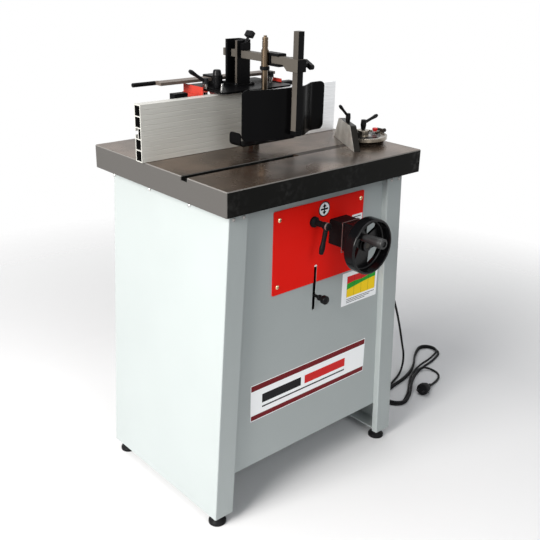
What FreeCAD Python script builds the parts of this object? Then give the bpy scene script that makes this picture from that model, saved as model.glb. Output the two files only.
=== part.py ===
import FreeCAD, Part
import math
import os
from FreeCAD import Vector

# Spindle moulder: cast table on a splayed sheet cabinet, with a lifting spindle carriage inside,
# and a fence with extraction hood, cutter guard, hold-down and mitre gauge on top.
# Millimetres, +Z up, front of the machine towards -Y.

# Clearances
SLIDE_GAP = 0.3
RUN_GAP = 0.05
LOOSE_GAP = 0.5

# Table
TABLE_LENGTH = 620.0
TABLE_DEPTH = 520.0
TABLE_HEIGHT = 860.0
TABLE_SKIRT = 56.0
TABLE_TOP = 20.0
TABLE_WALL = 14.0
TABLE_CORNER = 5.0
TABLE_BEVEL = 2.0
RIB_WIDTH = 26.0
MITRE_Y = -113.0
MITRE_WIDTH = 22.4
MITRE_DEPTH = 10.0
INSERT_RADIUS = 84.0
INSERT_SEAT = 75.0
INSERT_THICK = 8.0
INNER_RING_RADIUS = 55.0
INNER_RING_SEAT = 49.0
INNER_RING_THICK = 5.0
SPINDLE_HOLE = 33.0

# Cabinet
CABINET_FOOT = 30.0
HALF_TOP = 280.0
HALF_BOTTOM = 320.0
CABINET_FRONT = -230.0
CABINET_BACK = 226.0
SHEET = 2.0
BEND = 3.0
FRONT_LIP = 55.0
LIP_RETURN = 17.0
REAR_LIP = 30.0
FLANGE = 46.0
FLANGE_THICK = 3.0
PANEL_BOTTOM = 125.0
PANEL_OVERLAP = 12.0
PANEL_TOP_GAP = 4.0
PANEL_RETURN = 16.0
SHELF_TOP = PANEL_BOTTOM + 40.0
SHELF_EDGE = 26.0
REAR_PANEL_BOTTOM = 70.0
REAR_PANEL_EDGE = 14.0
DOOR_HALF = 184.0
DOOR_BOTTOM = TABLE_HEIGHT - 543.0
DOOR_TOP = TABLE_HEIGHT - 147.0
DOOR_COVER = 14.0
HINGE_RADIUS = 4.0
HINGE_PIN = 2.5
HINGE_LENGTH = 60.0
HINGE_LEAF = 22.0
FOOT_INSET = 26.0
FOOT_RADIUS = 22.0
FOOT_PAD = 14.0
FOOT_STUD = 5.0
FOOT_STUD_TOP = 52.0
FOOT_NUT = 9.0
FOOT_NUT_HEIGHT = 8.0

# Control plate and what stands on it
PLATE_LEFT = -140.0
PLATE_RIGHT = 157.0
PLATE_BOTTOM = TABLE_HEIGHT - 292.0
PLATE_TOP = TABLE_HEIGHT - 87.0
PLATE_THICK = 2.0
PLATE_CORNER = 4.0
LOCK_SLOT_BOTTOM = TABLE_HEIGHT - 367.0
LOCK_SLOT_TOP = TABLE_HEIGHT - 246.0
LOCK_SLOT_WIDTH = 11.0
WHEEL_X = 69.0
WHEEL_Z = TABLE_HEIGHT - 184.0
WHEEL_RADIUS = 67.5
WHEEL_RIM = 6.0
WHEEL_WIDTH = 32.0
WHEEL_WEB = 7.0
WHEEL_HUB = 15.0
WHEEL_HUB_LENGTH = 30.0
WHEEL_SET_BACK = 14.0
WHEEL_OPENINGS = 3
WHEEL_OPENING_TURN = 75.0
OPENING_SPREAD = 34.0
SHAFT_RADIUS = 8.0
GRIP_ORBIT = 43.0
GRIP_TURN = 135.0
GRIP_LENGTH = 82.0
GRIP_ROOT = 7.5
GRIP_END = 12.5
GRIP_BOLT = 4.0
GRIP_BOLT_HEAD = 6.5
BLOCK_HALF = 29.5
BLOCK_BOTTOM = WHEEL_Z - 17.0
BLOCK_TOP = WHEEL_Z + 45.0
BLOCK_DEPTH = 41.0
INDICATOR_HALF = 28.0
INDICATOR_DEPTH = 28.0
LOCK_LEVER_X = -15.0
LOCK_LEVER_Z = TABLE_HEIGHT - 134.0
LOCK_LEVER_REACH = 52.0
LOCK_LEVER_ARM = 60.0
LOCK_LEVER_LEAN = 12.0
LOCK_STUD = 5.0

# Spindle lift
SPINDLE_Y = 75.0
PILLAR_X = 60.0
PILLAR_Y = 10.0
PILLAR_RADIUS = 14.0
PILLAR_BOTTOM = TABLE_HEIGHT - 432.0
TIE_THICK = 15.0
TIE_EDGE = 12.0
CARRIAGE_BOTTOM = TABLE_HEIGHT - 298.0
CARRIAGE_TOP = TABLE_HEIGHT - 95.0
CARRIAGE_BOSS = 24.0
CARRIAGE_WEB = 14.0
QUILL_RADIUS = 50.0
QUILL_TOP = TABLE_HEIGHT - 88.0
QUILL_BORE = 27.0
SHELF_THICK = 12.0
SHELF_MARGIN = 10.0
SCREW_Y = -45.0
SCREW_RADIUS = 8.0
NUT_BOSS_BOTTOM = CARRIAGE_BOTTOM - 17.0
NUT_BOSS_TOP = CARRIAGE_BOTTOM + 12.0
NUT_BOSS = 22.0
GEARBOX_HALF = 30.0
GEARBOX_FRONT = -75.0
GEARBOX_BACK = -19.0
GEARBOX_BOTTOM = WHEEL_Z - 24.0
GEARBOX_TOP = WHEEL_Z + 29.0
GEARBOX_SOCKET = 18.0
HANGER_THICK = 12.0

# Spindle and drive
BEARING_RADIUS = 31.0
BEARING_WIDTH = 16.0
JOURNAL_RADIUS = 17.5
SPINDLE_BODY = 20.0
ARBOR_RADIUS = 15.0
ARBOR_FLANGE = 24.0
ARBOR_FLANGE_BOTTOM = QUILL_TOP + 2.0
ARBOR_SEAT = QUILL_TOP + 18.0
ARBOR_TOP = QUILL_TOP + 146.0
SPACER_RADIUS = 23.0
SPACER_HEIGHTS = (30.0, 30.0, 20.0, 20.0)
ARBOR_NUT_HEIGHT = 20.0
TAIL_RADIUS = 12.0
TAIL_BOTTOM = CARRIAGE_BOTTOM - 88.0
COLLAR_RADIUS = 36.0
COLLAR_HALF = 8.0
LOCK_Z = CARRIAGE_BOTTOM - 29.0
LOCK_ROD = 4.0
LOCK_TIP_GAP = 3.0
LOCK_TRAVEL = 8.0
LOCK_HOLES = 4
LOCK_COLLAR = 7.5
LOCK_KNOB = 11.0
LOCK_KNOB_OUT = 38.0
MOTOR_X = -165.0
MOTOR_Y = 90.0
MOTOR_RADIUS = 64.0
MOTOR_FLANGE = 70.0
MOTOR_TOP = CARRIAGE_BOTTOM + 202.0
MOTOR_FINS = 20
MOTOR_BOX_HALF = 38.0
MOTOR_BOX_OUT = 24.0
MOTOR_BOX_LOW = 55.0
MOTOR_BOX_HIGH = 130.0
MOTOR_SHAFT = 12.0
PULLEY_BOTTOM = CARRIAGE_BOTTOM - 82.0
PULLEY_STEP = 20.0
PULLEY_FLANGE = 3.5
SPINDLE_PULLEY = (45.0, 34.0)
MOTOR_PULLEY = (44.0, 55.0)
BELT_THICK = 2.6

# Fence and hood
FENCE_FRONT = 35.0
FENCE_THICK = 25.0
FENCE_HEIGHT = 130.0
FENCE_LEFT_LENGTH = 294.0
FENCE_RIGHT_LENGTH = 265.0
FENCE_LEFT_END = -318.0
FENCE_RIGHT_END = 298.0
FENCE_WALL = 2.6
FENCE_CHAMBERS = 5
FENCE_SLOT = 8.4
FENCE_GROOVES = 10
FENCE_GROOVE = 0.8
BASE_THICK = 6.0
BASE_HALF = 232.0
BASE_FRONT = 62.0
BASE_BACK = 200.0
BASE_CUT_HALF = 72.0
BASE_CUT_BACK = 150.0
FENCE_FORTH = 15.0
CARRIER_WIDTH = 37.0
CARRIER_DEPTH = 20.0
CARRIER_LEFT = -208.0
CARRIER_RIGHT = 130.0
CARRIER_TOP = TABLE_HEIGHT + 140.0
CARRIER_FOOT_DEPTH = 90.0
CARRIER_FOOT = 10.0
CARRIER_GUSSET = 70.0
CARRIER_KNOB = 13.0
HOOD_HALF = 126.0
HOOD_BACK = 140.0
HOOD_TOP = TABLE_HEIGHT + 138.0
HOOD_RIDGE = 3.0
HOOD_RIDGE_HEIGHT = 6.0
HOOD_RIDGE_DROP = 9.0
HOOD_UPSTAND = 10.0
FUNNEL_BACK = 205.0
PORT_Z = TABLE_HEIGHT + 70.0
PORT_RADIUS = 50.0
PORT_LENGTH = 50.0
COVER_THICK = 4.0
COVER_HALF = 113.0
COVER_FRONT = 4.0
COVER_BACK = 152.0
COVER_CORNER = 16.0
CLAMP_X = 104.0
CLAMP_Y = 80.0
CLAMP_STUD = 5.0
CLAMP_SLOT = 13.0
COVER_SLOT_FRONT = 38.5
CLAMP_DEPTH = 14.0
SIDE_ARM_Y = 126.0
SIDE_ARM_Z = HOOD_TOP + 18.0
SIDE_ARM_LEFT = -273.0
SIDE_ARM_RIGHT = 146.0
SIDE_ARM_WIDTH = 32.0
SIDE_ARM_HEIGHT = 7.0
SIDE_GRIP_LENGTH = 62.0
SIDE_GRIP = 5.0
SIDE_GRIP_BACK = 10.0
BRACKET_X = -62.0
BRACKET_LENGTH = 30.0
BRACKET_WALL = 4.5
COVER_KNOB_X = -77.0
COVER_KNOB_Y = 70.0
COVER_KNOB = 11.0
COVER_KNOB_HEIGHT = 43.0

# Guard and hold-down
COLUMN_HALF = 22.0
COLUMN_FRONT = 62.0
COLUMN_DEPTH = 45.0
COLUMN_TOP = TABLE_HEIGHT + 250.0
COLUMN_WALL = 7.0
COLUMN_BASE = 4.0
COLUMN_BASE_EDGE = 8.0
STEEL_EDGE = 1.0
ARM_SIZE = 18.0
ARM_Z = TABLE_HEIGHT + 217.0
ARM_BACK = 132.0
ARM_FRONT = -93.0
END_BLOCK_HALF = 13.0
END_BLOCK_FRONT = -142.0
END_BLOCK_BOTTOM = ARM_Z - 20.0
END_BLOCK_STEP = 12.0
CLAMP_BLOCK_HALF = 12.0
CLAMP_BLOCK_DEPTH = 10.0
CLAMP_BLOCK_TOP = ARM_Z + 27.0
ARM_SCREW = 3.5
ARM_SCREW_LEAN = 35.0
ARM_SCREW_IN = 12.0
ARM_SCREW_OUT = 18.5
POST_SIZE = 18.0
POST_Y = -129.0
POST_BOTTOM = TABLE_HEIGHT + 64.0
POST_TOP = TABLE_HEIGHT + 286.0
POST_FOOT = 10.0
GUARD_HALF = 130.0
GUARD_BOTTOM = TABLE_HEIGHT + 46.0
GUARD_TOP = TABLE_HEIGHT + 162.0
GUARD_SHEET = 3.0
GUARD_END_Y = -88.0
GUARD_CORNER = 14.0
ROD_X = -18.5
ROD_Y = -36.0
ROD_RADIUS = 7.0
ROD_TOP = TABLE_HEIGHT + 266.0
ROD_CLAMP_FRONT = -75.0
ROD_CLAMP_BACK = -24.0
ROD_CLAMP_HEIGHT = 30.0
SLEEVE_RADIUS = 9.0
SLEEVE_TOP = ARM_Z + 21.0
SLEEVE_BOTTOM = ARM_Z - 17.0
RING_RADIUS = 11.5
RING_HEIGHT = 9.0
SHOE_HALF = 89.0
SHOE_BOTTOM = TABLE_HEIGHT + 24.0
SHOE_SHEET = 3.0
SHOE_WIDTH = 40.0
SHOE_UPTURN = 32.0
SHOE_BEND = 10.0
SHOE_CORNER = 8.0
SHOE_BOSS = 13.0
SHOE_BOSS_HEIGHT = 14.0

# Mitre gauge
GAUGE_LEFT = 20.0
GAUGE_RIGHT = 308.0
GAUGE_PIVOT_X = 253.0
GAUGE_TURN = -30.0
GAUGE_BASE_THICK = 10.0
GAUGE_BASE_HALF = 12.0
GAUGE_BASE_BACK = 70.0
GAUGE_STOP = 16.0
HEAD_FACE = 55.5
HEAD_THICK = 16.0
HEAD_NEAR = 107.0
HEAD_FAR = 71.0
HEAD_SLANT = 34.0
HEAD_NEAR_SLANT = 44.0
HEAD_HEIGHT = 55.0
PROTRACTOR_RADIUS = 62.0
PROTRACTOR_THICK = 7.0
PROTRACTOR_RIM = 6.0
PROTRACTOR_LIP = 2.5
GAUGE_HUB = 15.0
GAUGE_HUB_TOP = TABLE_HEIGHT + 33.0
FACE_LEVER_ALONG = -18.0

# Switch and mains cord
SWITCH_Y = -110.0
SWITCH_WIDTH = 54.0
SWITCH_HEIGHT = 90.0
SWITCH_DEPTH = 48.0
BUTTON_RADIUS = 11.0
BUTTON_SPACING = 38.0
BUTTON_OUT = 5.0
BUTTON_IN = 10.0
CORD_RADIUS = 3.5
GLAND_Y = -92.0
GLAND_Z = 452.0
SWITCH_Z = GLAND_Z + 158.0
GLAND_LENGTH = 34.0
GLAND_RADIUS = 12.0
CORD_REST = 3.6
HANK_X = 656.0
HANK_Y = -48.0
HANK_TURN = 21.16
HANK_HALF = 177.0
HANK_INNER = 30.0
HANK_STEP = 4.3
HANK_WAIST = 4.2
HANK_LAYER = 7.6
HANK_RUNS = 5
PLUG_RADIUS = 19.0
PLUG_BODY = 38.0
PLUG_RELIEF = 22.0
PLUG_PIN = 2.4
PLUG_PIN_LENGTH = 19.0
PLUG_PIN_HALF = 9.5

# Route of the cord from its gland to the hank, in the frame of the table's centre on the floor
CORD_ROUTE = (
    (372.0, -92.0, 456.0),
    (420.0, -86.0, 432.0),
    (470.0, -76.0, 372.0),
    (510.0, -66.0, 308.0),
    (548.0, -54.0, 240.0),
    (584.0, -40.0, 176.0),
    (622.0, -22.0, 112.0),
    (652.0, -9.0, 64.0),
    (648.0, -12.0, 26.0),
    (620.0, -23.0, 3.6),
    (560.0, -43.0, 3.7),
    (514.0, -57.0, 3.6),
)
# Route of the lead from the hank's waist to the plug: along the hank, across it, and height
LEAD_ROUTE = (
    (33.0, -12.8, 11.2),
    (52.9, -29.5, 10.8),
    (57.4, -55.1, 5.0),
    (44.4, -77.6, 3.6),
    (16.2, -87.9, 3.6),
    (-22.0, -84.4, 4.6),
    (-56.0, -78.4, 8.6),
)
PLUG_TILT = 9.0

# Worked out from the sizes above
X = Vector(1, 0, 0)
Y = Vector(0, 1, 0)
Z = Vector(0, 0, 1)
CABINET_TOP = TABLE_HEIGHT - TABLE_SKIRT
TABLE_UNDER = TABLE_HEIGHT - TABLE_TOP
PANEL_FACE = CABINET_FRONT + LIP_RETURN
PANEL_TOP = CABINET_TOP - PANEL_TOP_GAP
PLATE_FACE = PANEL_FACE - PLATE_THICK
BLOCK_FRONT = PLATE_FACE - BLOCK_DEPTH
INDICATOR_FRONT = BLOCK_FRONT - INDICATOR_DEPTH
WHEEL_BACK = INDICATOR_FRONT - LOOSE_GAP
CARRIAGE_FRONT = PILLAR_Y - CARRIAGE_BOSS
BASE_BOTTOM = TABLE_HEIGHT + SLIDE_GAP
BASE_TOP = BASE_BOTTOM + BASE_THICK
FENCE_BOTTOM = TABLE_HEIGHT + 2 * SLIDE_GAP
FENCE_REAR = FENCE_FRONT + FENCE_THICK
COVER_TOP = HOOD_TOP + COVER_THICK
ARM_HALF = ARM_SIZE / 2
ARM_TOP = ARM_Z + ARM_HALF
POST_HALF = POST_SIZE / 2
GUARD_FACE = POST_Y + POST_HALF
HEAD_BOTTOM = TABLE_HEIGHT + SLIDE_GAP
HEAD_TOP = HEAD_BOTTOM + HEAD_HEIGHT
HANK_MIDDLE = (HANK_RUNS + 1) // 2


# Building blocks

def box(x0, x1, y0, y1, z0, z1):
    return Part.makeBox(x1 - x0, y1 - y0, z1 - z0, Vector(x0, y0, z0))


def on_xy(z):
    return lambda a, b: Vector(a, b, z)


def on_xz(y):
    return lambda a, b: Vector(a, y, b)


def on_yz(x):
    return lambda a, b: Vector(x, a, b)


def rounded_wire(corners, place):
    """Closed outline through (a, b, radius) corners, each rounded by its radius."""
    flat = [Vector(c[0], c[1], 0) for c in corners]
    spans = []
    for i, corner in enumerate(flat):
        radius = corners[i][2]
        if radius <= 0:
            spans.append((corner, None, corner))
            continue
        back = (flat[i - 1] - corner).normalize()
        ahead = (flat[(i + 1) % len(flat)] - corner).normalize()
        half = back.getAngle(ahead) / 2
        reach = radius / math.tan(half)
        middle = corner + (back + ahead).normalize() * (radius / math.sin(half) - radius)
        spans.append((corner + back * reach, middle, corner + ahead * reach))
    edges = []
    for i, (start, middle, end) in enumerate(spans):
        if middle is not None:
            points = [place(p.x, p.y) for p in (start, middle, end)]
            edges.append(Part.Arc(*points).toShape())
        following = spans[(i + 1) % len(spans)][0]
        if (following - end).Length > 1e-6:
            edges.append(Part.LineSegment(place(end.x, end.y), place(following.x, following.y)).toShape())
    return Part.Wire(edges)


def prism(corners, place, along):
    return Part.Face(rounded_wire(corners, place)).extrude(along)


def rectangle(a0, a1, b0, b1, radius=0.0):
    return [(a0, b0, radius), (a1, b0, radius), (a1, b1, radius), (a0, b1, radius)]


def shifted_line(points, side):
    """Open line of (a, b, radius) points moved sideways, to the left for a positive side."""
    flat = [Vector(p[0], p[1], 0) for p in points]
    moved = []
    for i, point in enumerate(flat):
        before = (point - flat[i - 1]).normalize() if i > 0 else None
        after = (flat[i + 1] - point).normalize() if i < len(flat) - 1 else None
        first = before or after
        last = after or before
        left = Vector(-first.y, first.x, 0) + Vector(-last.y, last.x, 0)
        left.normalize()
        stretch = left.dot(Vector(-first.y, first.x, 0))
        turn = first.x * last.y - first.y * last.x
        radius = points[i][2]
        if radius > 0:
            radius = radius - side if turn > 0 else radius + side
        spot = point + left * (side / stretch)
        moved.append((spot.x, spot.y, radius))
    return moved


def strip(points, thickness):
    """Outline of a bent sheet: the given line, and the same line one thickness to its left."""
    return list(points) + shifted_line(points, thickness)[::-1]


def turned(profile, base, axis):
    """Solid of revolution from (radius, height) or (radius, height, corner) points along an axis."""
    axis = Vector(axis).normalize()
    across = X if abs(axis.x) < 0.9 else Y
    across = (across - axis * across.dot(axis)).normalize()
    corners = [(p[0], p[1], p[2] if len(p) > 2 else 0.0) for p in profile]
    wire = rounded_wire(corners, lambda r, h: base + across * r + axis * h)
    return Part.Face(wire).revolve(base, axis, 360)


def rod(base, axis, radius, length):
    return Part.makeCylinder(radius, length, base, axis)


def tube(base, axis, outer, inner, length):
    return turned([(inner, 0), (outer, 0), (outer, length), (inner, length)], base, axis)


def fused(pieces):
    return pieces[0].multiFuse(pieces[1:]).removeSplitter()


def edges_along(shape, axis):
    chosen = []
    for edge in shape.Edges:
        if isinstance(edge.Curve, Part.Line) and abs(edge.tangentAt(edge.FirstParameter).dot(axis)) > 0.999:
            chosen.append(edge)
    return chosen


def polygon(sides, radius, turn=0.0):
    corners = []
    for i in range(sides):
        angle = math.radians(turn + 360.0 * i / sides)
        corners.append((radius * math.cos(angle), radius * math.sin(angle), 0.0))
    return corners


def half_width(z):
    share = (z - CABINET_FOOT) / (CABINET_TOP - CABINET_FOOT)
    return HALF_BOTTOM + (HALF_TOP - HALF_BOTTOM) * share


def right_panel_frame(y, z):
    """Placement on the right panel's outside, with its local Z pointing out of the panel."""
    up = Vector(HALF_TOP - HALF_BOTTOM, 0, CABINET_TOP - CABINET_FOOT).normalize()
    out = Y.cross(up).normalize()
    turn = FreeCAD.Rotation(Y, up, out, "ZXY")
    return FreeCAD.Placement(Vector(half_width(z), y, z), turn)


def placed(shape, placement):
    copy = shape.copy()
    copy.transformShape(placement.toMatrix(), True)
    return copy


def clamp_lever(arm, rise, hub=8.0, hub_height=24.0, stem=4.0, stem_length=0.0):
    """Clamp lever about the local Z axis, its arm rising along local X, with a threaded stem below."""
    body = turned([(0, 0), (hub * 0.8, 0), (hub, hub_height * 0.45, 2), (hub * 0.85, hub_height, 2),
                   (0, hub_height)], Vector(0, 0, 0), Z)
    lean = Vector(math.cos(math.radians(rise)), 0, math.sin(math.radians(rise)))
    root = Vector(0, 0, hub_height * 0.62)
    handle = turned([(0, 0), (hub * 0.55, 0), (hub * 0.5, arm * 0.55), (hub * 0.68, arm * 0.86, 4),
                     (hub * 0.45, arm, 3), (0, arm)], root, lean)
    pieces = [body, handle]
    if stem_length > 0:
        pieces.append(rod(Vector(0, 0, -stem_length), Z, stem, stem_length + 1))
    return fused(pieces)


def lever_place(base, up, heading):
    """Placement that stands a lever's axis along up and points its arm along heading."""
    return FreeCAD.Placement(base, FreeCAD.Rotation(heading, up.cross(heading), up, "ZXY"))


# Table

def make_table():
    half_x = TABLE_LENGTH / 2
    half_y = TABLE_DEPTH / 2
    plate = box(-half_x, half_x, -half_y, half_y, CABINET_TOP, TABLE_HEIGHT)
    plate = plate.makeFillet(TABLE_CORNER, edges_along(plate, Z))
    rim = [e for e in plate.Edges if min(v.Z for v in e.Vertexes) > TABLE_HEIGHT - 1e-3]
    plate = plate.makeChamfer(TABLE_BEVEL, rim)
    inner_x = half_x - TABLE_WALL
    inner_y = half_y - TABLE_WALL
    hollow = box(-inner_x, inner_x, -inner_y, inner_y, CABINET_TOP, TABLE_UNDER)
    plate = plate.cut(hollow)
    seat = HALF_TOP - FLANGE / 2
    ribs = [box(x - RIB_WIDTH / 2, x + RIB_WIDTH / 2, -inner_y, inner_y, CABINET_TOP, TABLE_UNDER)
            for x in (-seat, seat)]
    plate = fused([plate] + ribs)
    slot = box(-TABLE_LENGTH, TABLE_LENGTH, MITRE_Y - MITRE_WIDTH / 2, MITRE_Y + MITRE_WIDTH / 2,
               TABLE_HEIGHT - MITRE_DEPTH, TABLE_HEIGHT + 1)
    opening = rod(Vector(0, SPINDLE_Y, CABINET_TOP), Z, INSERT_SEAT, TABLE_SKIRT)
    rebate = rod(Vector(0, SPINDLE_Y, TABLE_HEIGHT - INSERT_THICK), Z, INSERT_RADIUS, TABLE_SKIRT)
    studs = [rod(Vector(x, CLAMP_Y, TABLE_HEIGHT - CLAMP_DEPTH), Z, CLAMP_STUD + RUN_GAP, TABLE_SKIRT)
             for x in (-CLAMP_X, CLAMP_X)]
    return plate.cut([slot, opening, rebate] + studs)


def make_insert_rings():
    base = Vector(0, SPINDLE_Y, TABLE_HEIGHT - INSERT_THICK)
    step = INSERT_THICK - INNER_RING_THICK
    edge = INSERT_RADIUS - SLIDE_GAP
    profile = [(INNER_RING_SEAT, 0), (edge, 0), (edge, INSERT_THICK), (INNER_RING_RADIUS, INSERT_THICK),
               (INNER_RING_RADIUS, step), (INNER_RING_SEAT, step)]
    outer = turned(profile, base, Z)
    inner = tube(base + Z * step, Z, INNER_RING_RADIUS - SLIDE_GAP, SPINDLE_HOLE, INNER_RING_THICK)
    return Part.makeCompound([outer, inner])


# Cabinet

def make_side_panel():
    """Left side panel: one bent sheet with front lip, its return and a rear lip, leaning inwards."""
    x = -HALF_BOTTOM
    line = [(x + REAR_LIP, CABINET_BACK, 0), (x, CABINET_BACK, BEND), (x, CABINET_FRONT, BEND),
            (x + FRONT_LIP, CABINET_FRONT, BEND), (x + FRONT_LIP, PANEL_FACE, 0)]
    lean = Vector(HALF_BOTTOM - HALF_TOP, 0, CABINET_TOP - CABINET_FOOT)
    wall = prism(strip(line, SHEET), on_xy(CABINET_FOOT), lean)
    inside = SHEET / 2
    y0 = CABINET_FRONT + inside
    y1 = CABINET_BACK - inside
    low = box(x + inside, x + FLANGE, y0, y1, CABINET_FOOT, CABINET_FOOT + FLANGE_THICK)
    high = box(-HALF_TOP + inside, -HALF_TOP + FLANGE, y0, y1, CABINET_TOP - FLANGE_THICK, CABINET_TOP)
    holes = [rod(Vector(fx, fy, 0), Z, FOOT_STUD, PANEL_BOTTOM) for fx, fy in foot_places() if fx < 0]
    return fused([wall, low, high]).cut(holes)


def foot_places():
    x = HALF_BOTTOM - FOOT_INSET
    front = CABINET_FRONT + FOOT_INSET
    back = CABINET_BACK - FOOT_INSET
    return [(-x, front), (x, front), (-x, back), (x, back)]


def make_feet():
    solids = []
    for x, y in foot_places():
        base = Vector(x, y, 0)
        solids.append(turned([(0, 0), (FOOT_RADIUS, 0), (FOOT_RADIUS, FOOT_PAD * 0.45, 2),
                              (FOOT_RADIUS * 0.6, FOOT_PAD, 2), (0, FOOT_PAD)], base, Z))
        stud = rod(base + Z * FOOT_PAD, Z, FOOT_STUD, FOOT_STUD_TOP - FOOT_PAD)
        nut = prism(polygon(6, FOOT_NUT), on_xy(0), Z * FOOT_NUT_HEIGHT)
        nut.translate(base + Z * (CABINET_FOOT - FOOT_NUT_HEIGHT))
        solids.append(fused([stud, nut]))
    return Part.makeCompound(solids)


def trapezoid(bottom, top, inset):
    low = half_width(bottom) - inset
    high = half_width(top) - inset
    return [(-low, bottom, 0), (low, bottom, 0), (high, top, 0), (-high, top, 0)]


def lock_slot(y0, y1):
    half = LOCK_SLOT_WIDTH / 2
    corners = rectangle(-half, half, LOCK_SLOT_BOTTOM, LOCK_SLOT_TOP, half)
    return prism(corners, on_xz(y0), Y * (y1 - y0))


def control_holes(y0, y1):
    return [rod(Vector(WHEEL_X, y0, WHEEL_Z), Y, SHAFT_RADIUS + LOOSE_GAP, y1 - y0),
            rod(Vector(LOCK_LEVER_X, y0, LOCK_LEVER_Z), Y, LOCK_STUD + LOOSE_GAP, y1 - y0),
            lock_slot(y0, y1)]


def make_front_panel():
    inset = FRONT_LIP - PANEL_OVERLAP
    sheet = prism(trapezoid(PANEL_BOTTOM, PANEL_TOP, inset), on_xz(PANEL_FACE), Y * SHEET)
    half = half_width(PANEL_BOTTOM) - inset
    fold = box(-half, half, PANEL_FACE, PANEL_FACE + PANEL_RETURN, PANEL_BOTTOM, PANEL_BOTTOM + SHEET)
    return fused([sheet, fold]).cut(control_holes(PANEL_FACE - 1, PANEL_FACE + SHEET + 1))


def make_control_plate():
    corners = rectangle(PLATE_LEFT, PLATE_RIGHT, PLATE_BOTTOM, PLATE_TOP, PLATE_CORNER)
    plate = prism(corners, on_xz(PLATE_FACE), Y * PLATE_THICK)
    return plate.cut(control_holes(PLATE_FACE - 1, PANEL_FACE + 1))


def make_floor_shelf():
    half = half_width(SHELF_TOP) - SHEET - SLIDE_GAP
    front = PANEL_FACE + SHEET + 6
    back = CABINET_BACK - 2 * SHEET - SLIDE_GAP
    sheet = box(-half, half, front, back, SHELF_TOP - SHEET, SHELF_TOP)
    edges = [box(-half, half, y, y + SHEET, SHELF_TOP - SHELF_EDGE, SHELF_TOP) for y in (front, back - SHEET)]
    return fused([sheet] + edges)


HINGE_X = -DOOR_HALF - HINGE_RADIUS - 2
DOOR_FACE = CABINET_BACK - SHEET + SLIDE_GAP
HINGE_Y = DOOR_FACE + SHEET + HINGE_RADIUS
HINGE_PLACES = (DOOR_BOTTOM + 50, DOOR_TOP - 50 - HINGE_LENGTH)


def make_rear_panel():
    y = CABINET_BACK - 2 * SHEET
    panel = prism(trapezoid(REAR_PANEL_BOTTOM, PANEL_TOP, REAR_PANEL_EDGE), on_xz(y), Y * SHEET)
    half = DOOR_HALF - DOOR_COVER
    panel = panel.cut(box(-half, half, y - 1, y + SHEET + 1, DOOR_BOTTOM + DOOR_COVER, DOOR_TOP - DOOR_COVER))
    pieces = [panel]
    for z in HINGE_PLACES:
        tall = HINGE_LENGTH / 2 - SLIDE_GAP
        leaf = box(HINGE_X - HINGE_LEAF, HINGE_X, y + SHEET, y + 2 * SHEET, z, z + tall)
        arm = box(HINGE_X - HINGE_RADIUS, HINGE_X, y + SHEET, HINGE_Y, z, z + tall)
        barrel = rod(Vector(HINGE_X, HINGE_Y, z), Z, HINGE_RADIUS, tall)
        pin = rod(Vector(HINGE_X, HINGE_Y, z), Z, HINGE_PIN, HINGE_LENGTH)
        pieces += [leaf, arm, barrel, pin]
    return fused(pieces)


def make_rear_door():
    sheet = prism(rectangle(-DOOR_HALF, DOOR_HALF, DOOR_BOTTOM, DOOR_TOP, 6), on_xz(DOOR_FACE), Y * SHEET)
    outer = DOOR_FACE + SHEET
    pieces = [sheet]
    bores = []
    for z in HINGE_PLACES:
        low = z + HINGE_LENGTH / 2
        leaf = box(HINGE_X, HINGE_X + HINGE_LEAF, outer, outer + SHEET, low, z + HINGE_LENGTH)
        barrel = rod(Vector(HINGE_X, HINGE_Y, low), Z, HINGE_RADIUS, HINGE_LENGTH / 2)
        pieces += [leaf, barrel]
        bores.append(rod(Vector(HINGE_X, HINGE_Y, low - 1), Z, HINGE_PIN + RUN_GAP, HINGE_LENGTH))
    middle = (DOOR_BOTTOM + DOOR_TOP) / 2
    x = DOOR_HALF - 30
    grip = [(middle - 45, outer, 0), (middle - 45, outer + 28, 10), (middle + 45, outer + 28, 10),
            (middle + 45, outer, 0)]
    handle = prism(strip(grip, 8), lambda a, b: Vector(x, b, a), X * 10)
    return fused(pieces + [handle]).cut(bores)


# Height drive on the front

def make_bearing_block():
    left = WHEEL_X - BLOCK_HALF
    right = WHEEL_X + BLOCK_HALF
    block = box(left, right, BLOCK_FRONT, PLATE_FACE, BLOCK_BOTTOM, BLOCK_TOP)
    block = block.makeFillet(3, edges_along(block, Y))
    start = Vector(WHEEL_X, BLOCK_FRONT - 1, WHEEL_Z)
    return block.cut(rod(start, Y, SHAFT_RADIUS + RUN_GAP, BLOCK_DEPTH + 2))


def make_position_indicator():
    left = WHEEL_X - INDICATOR_HALF
    right = WHEEL_X + INDICATOR_HALF
    bottom = WHEEL_Z - INDICATOR_HALF
    top = BLOCK_TOP + 1
    corners = [(left, bottom, 14), (right, bottom, 14), (right, top, 4), (left, top, 4)]
    body = prism(corners, on_xz(INDICATOR_FRONT), Y * INDICATOR_DEPTH)
    middle = (INDICATOR_FRONT + BLOCK_FRONT) / 2
    window = box(left + 14, right - 14, middle - 7, middle + 7, top - 1.2, top + 1)
    bore = rod(Vector(WHEEL_X, INDICATOR_FRONT - 1, WHEEL_Z), Y, SHAFT_RADIUS + RUN_GAP, INDICATOR_DEPTH + 2)
    return body.cut([window, bore])


def wheel_spot(radius, turn, y):
    angle = math.radians(turn)
    return Vector(WHEEL_X + radius * math.cos(angle), y, WHEEL_Z + radius * math.sin(angle))


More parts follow.
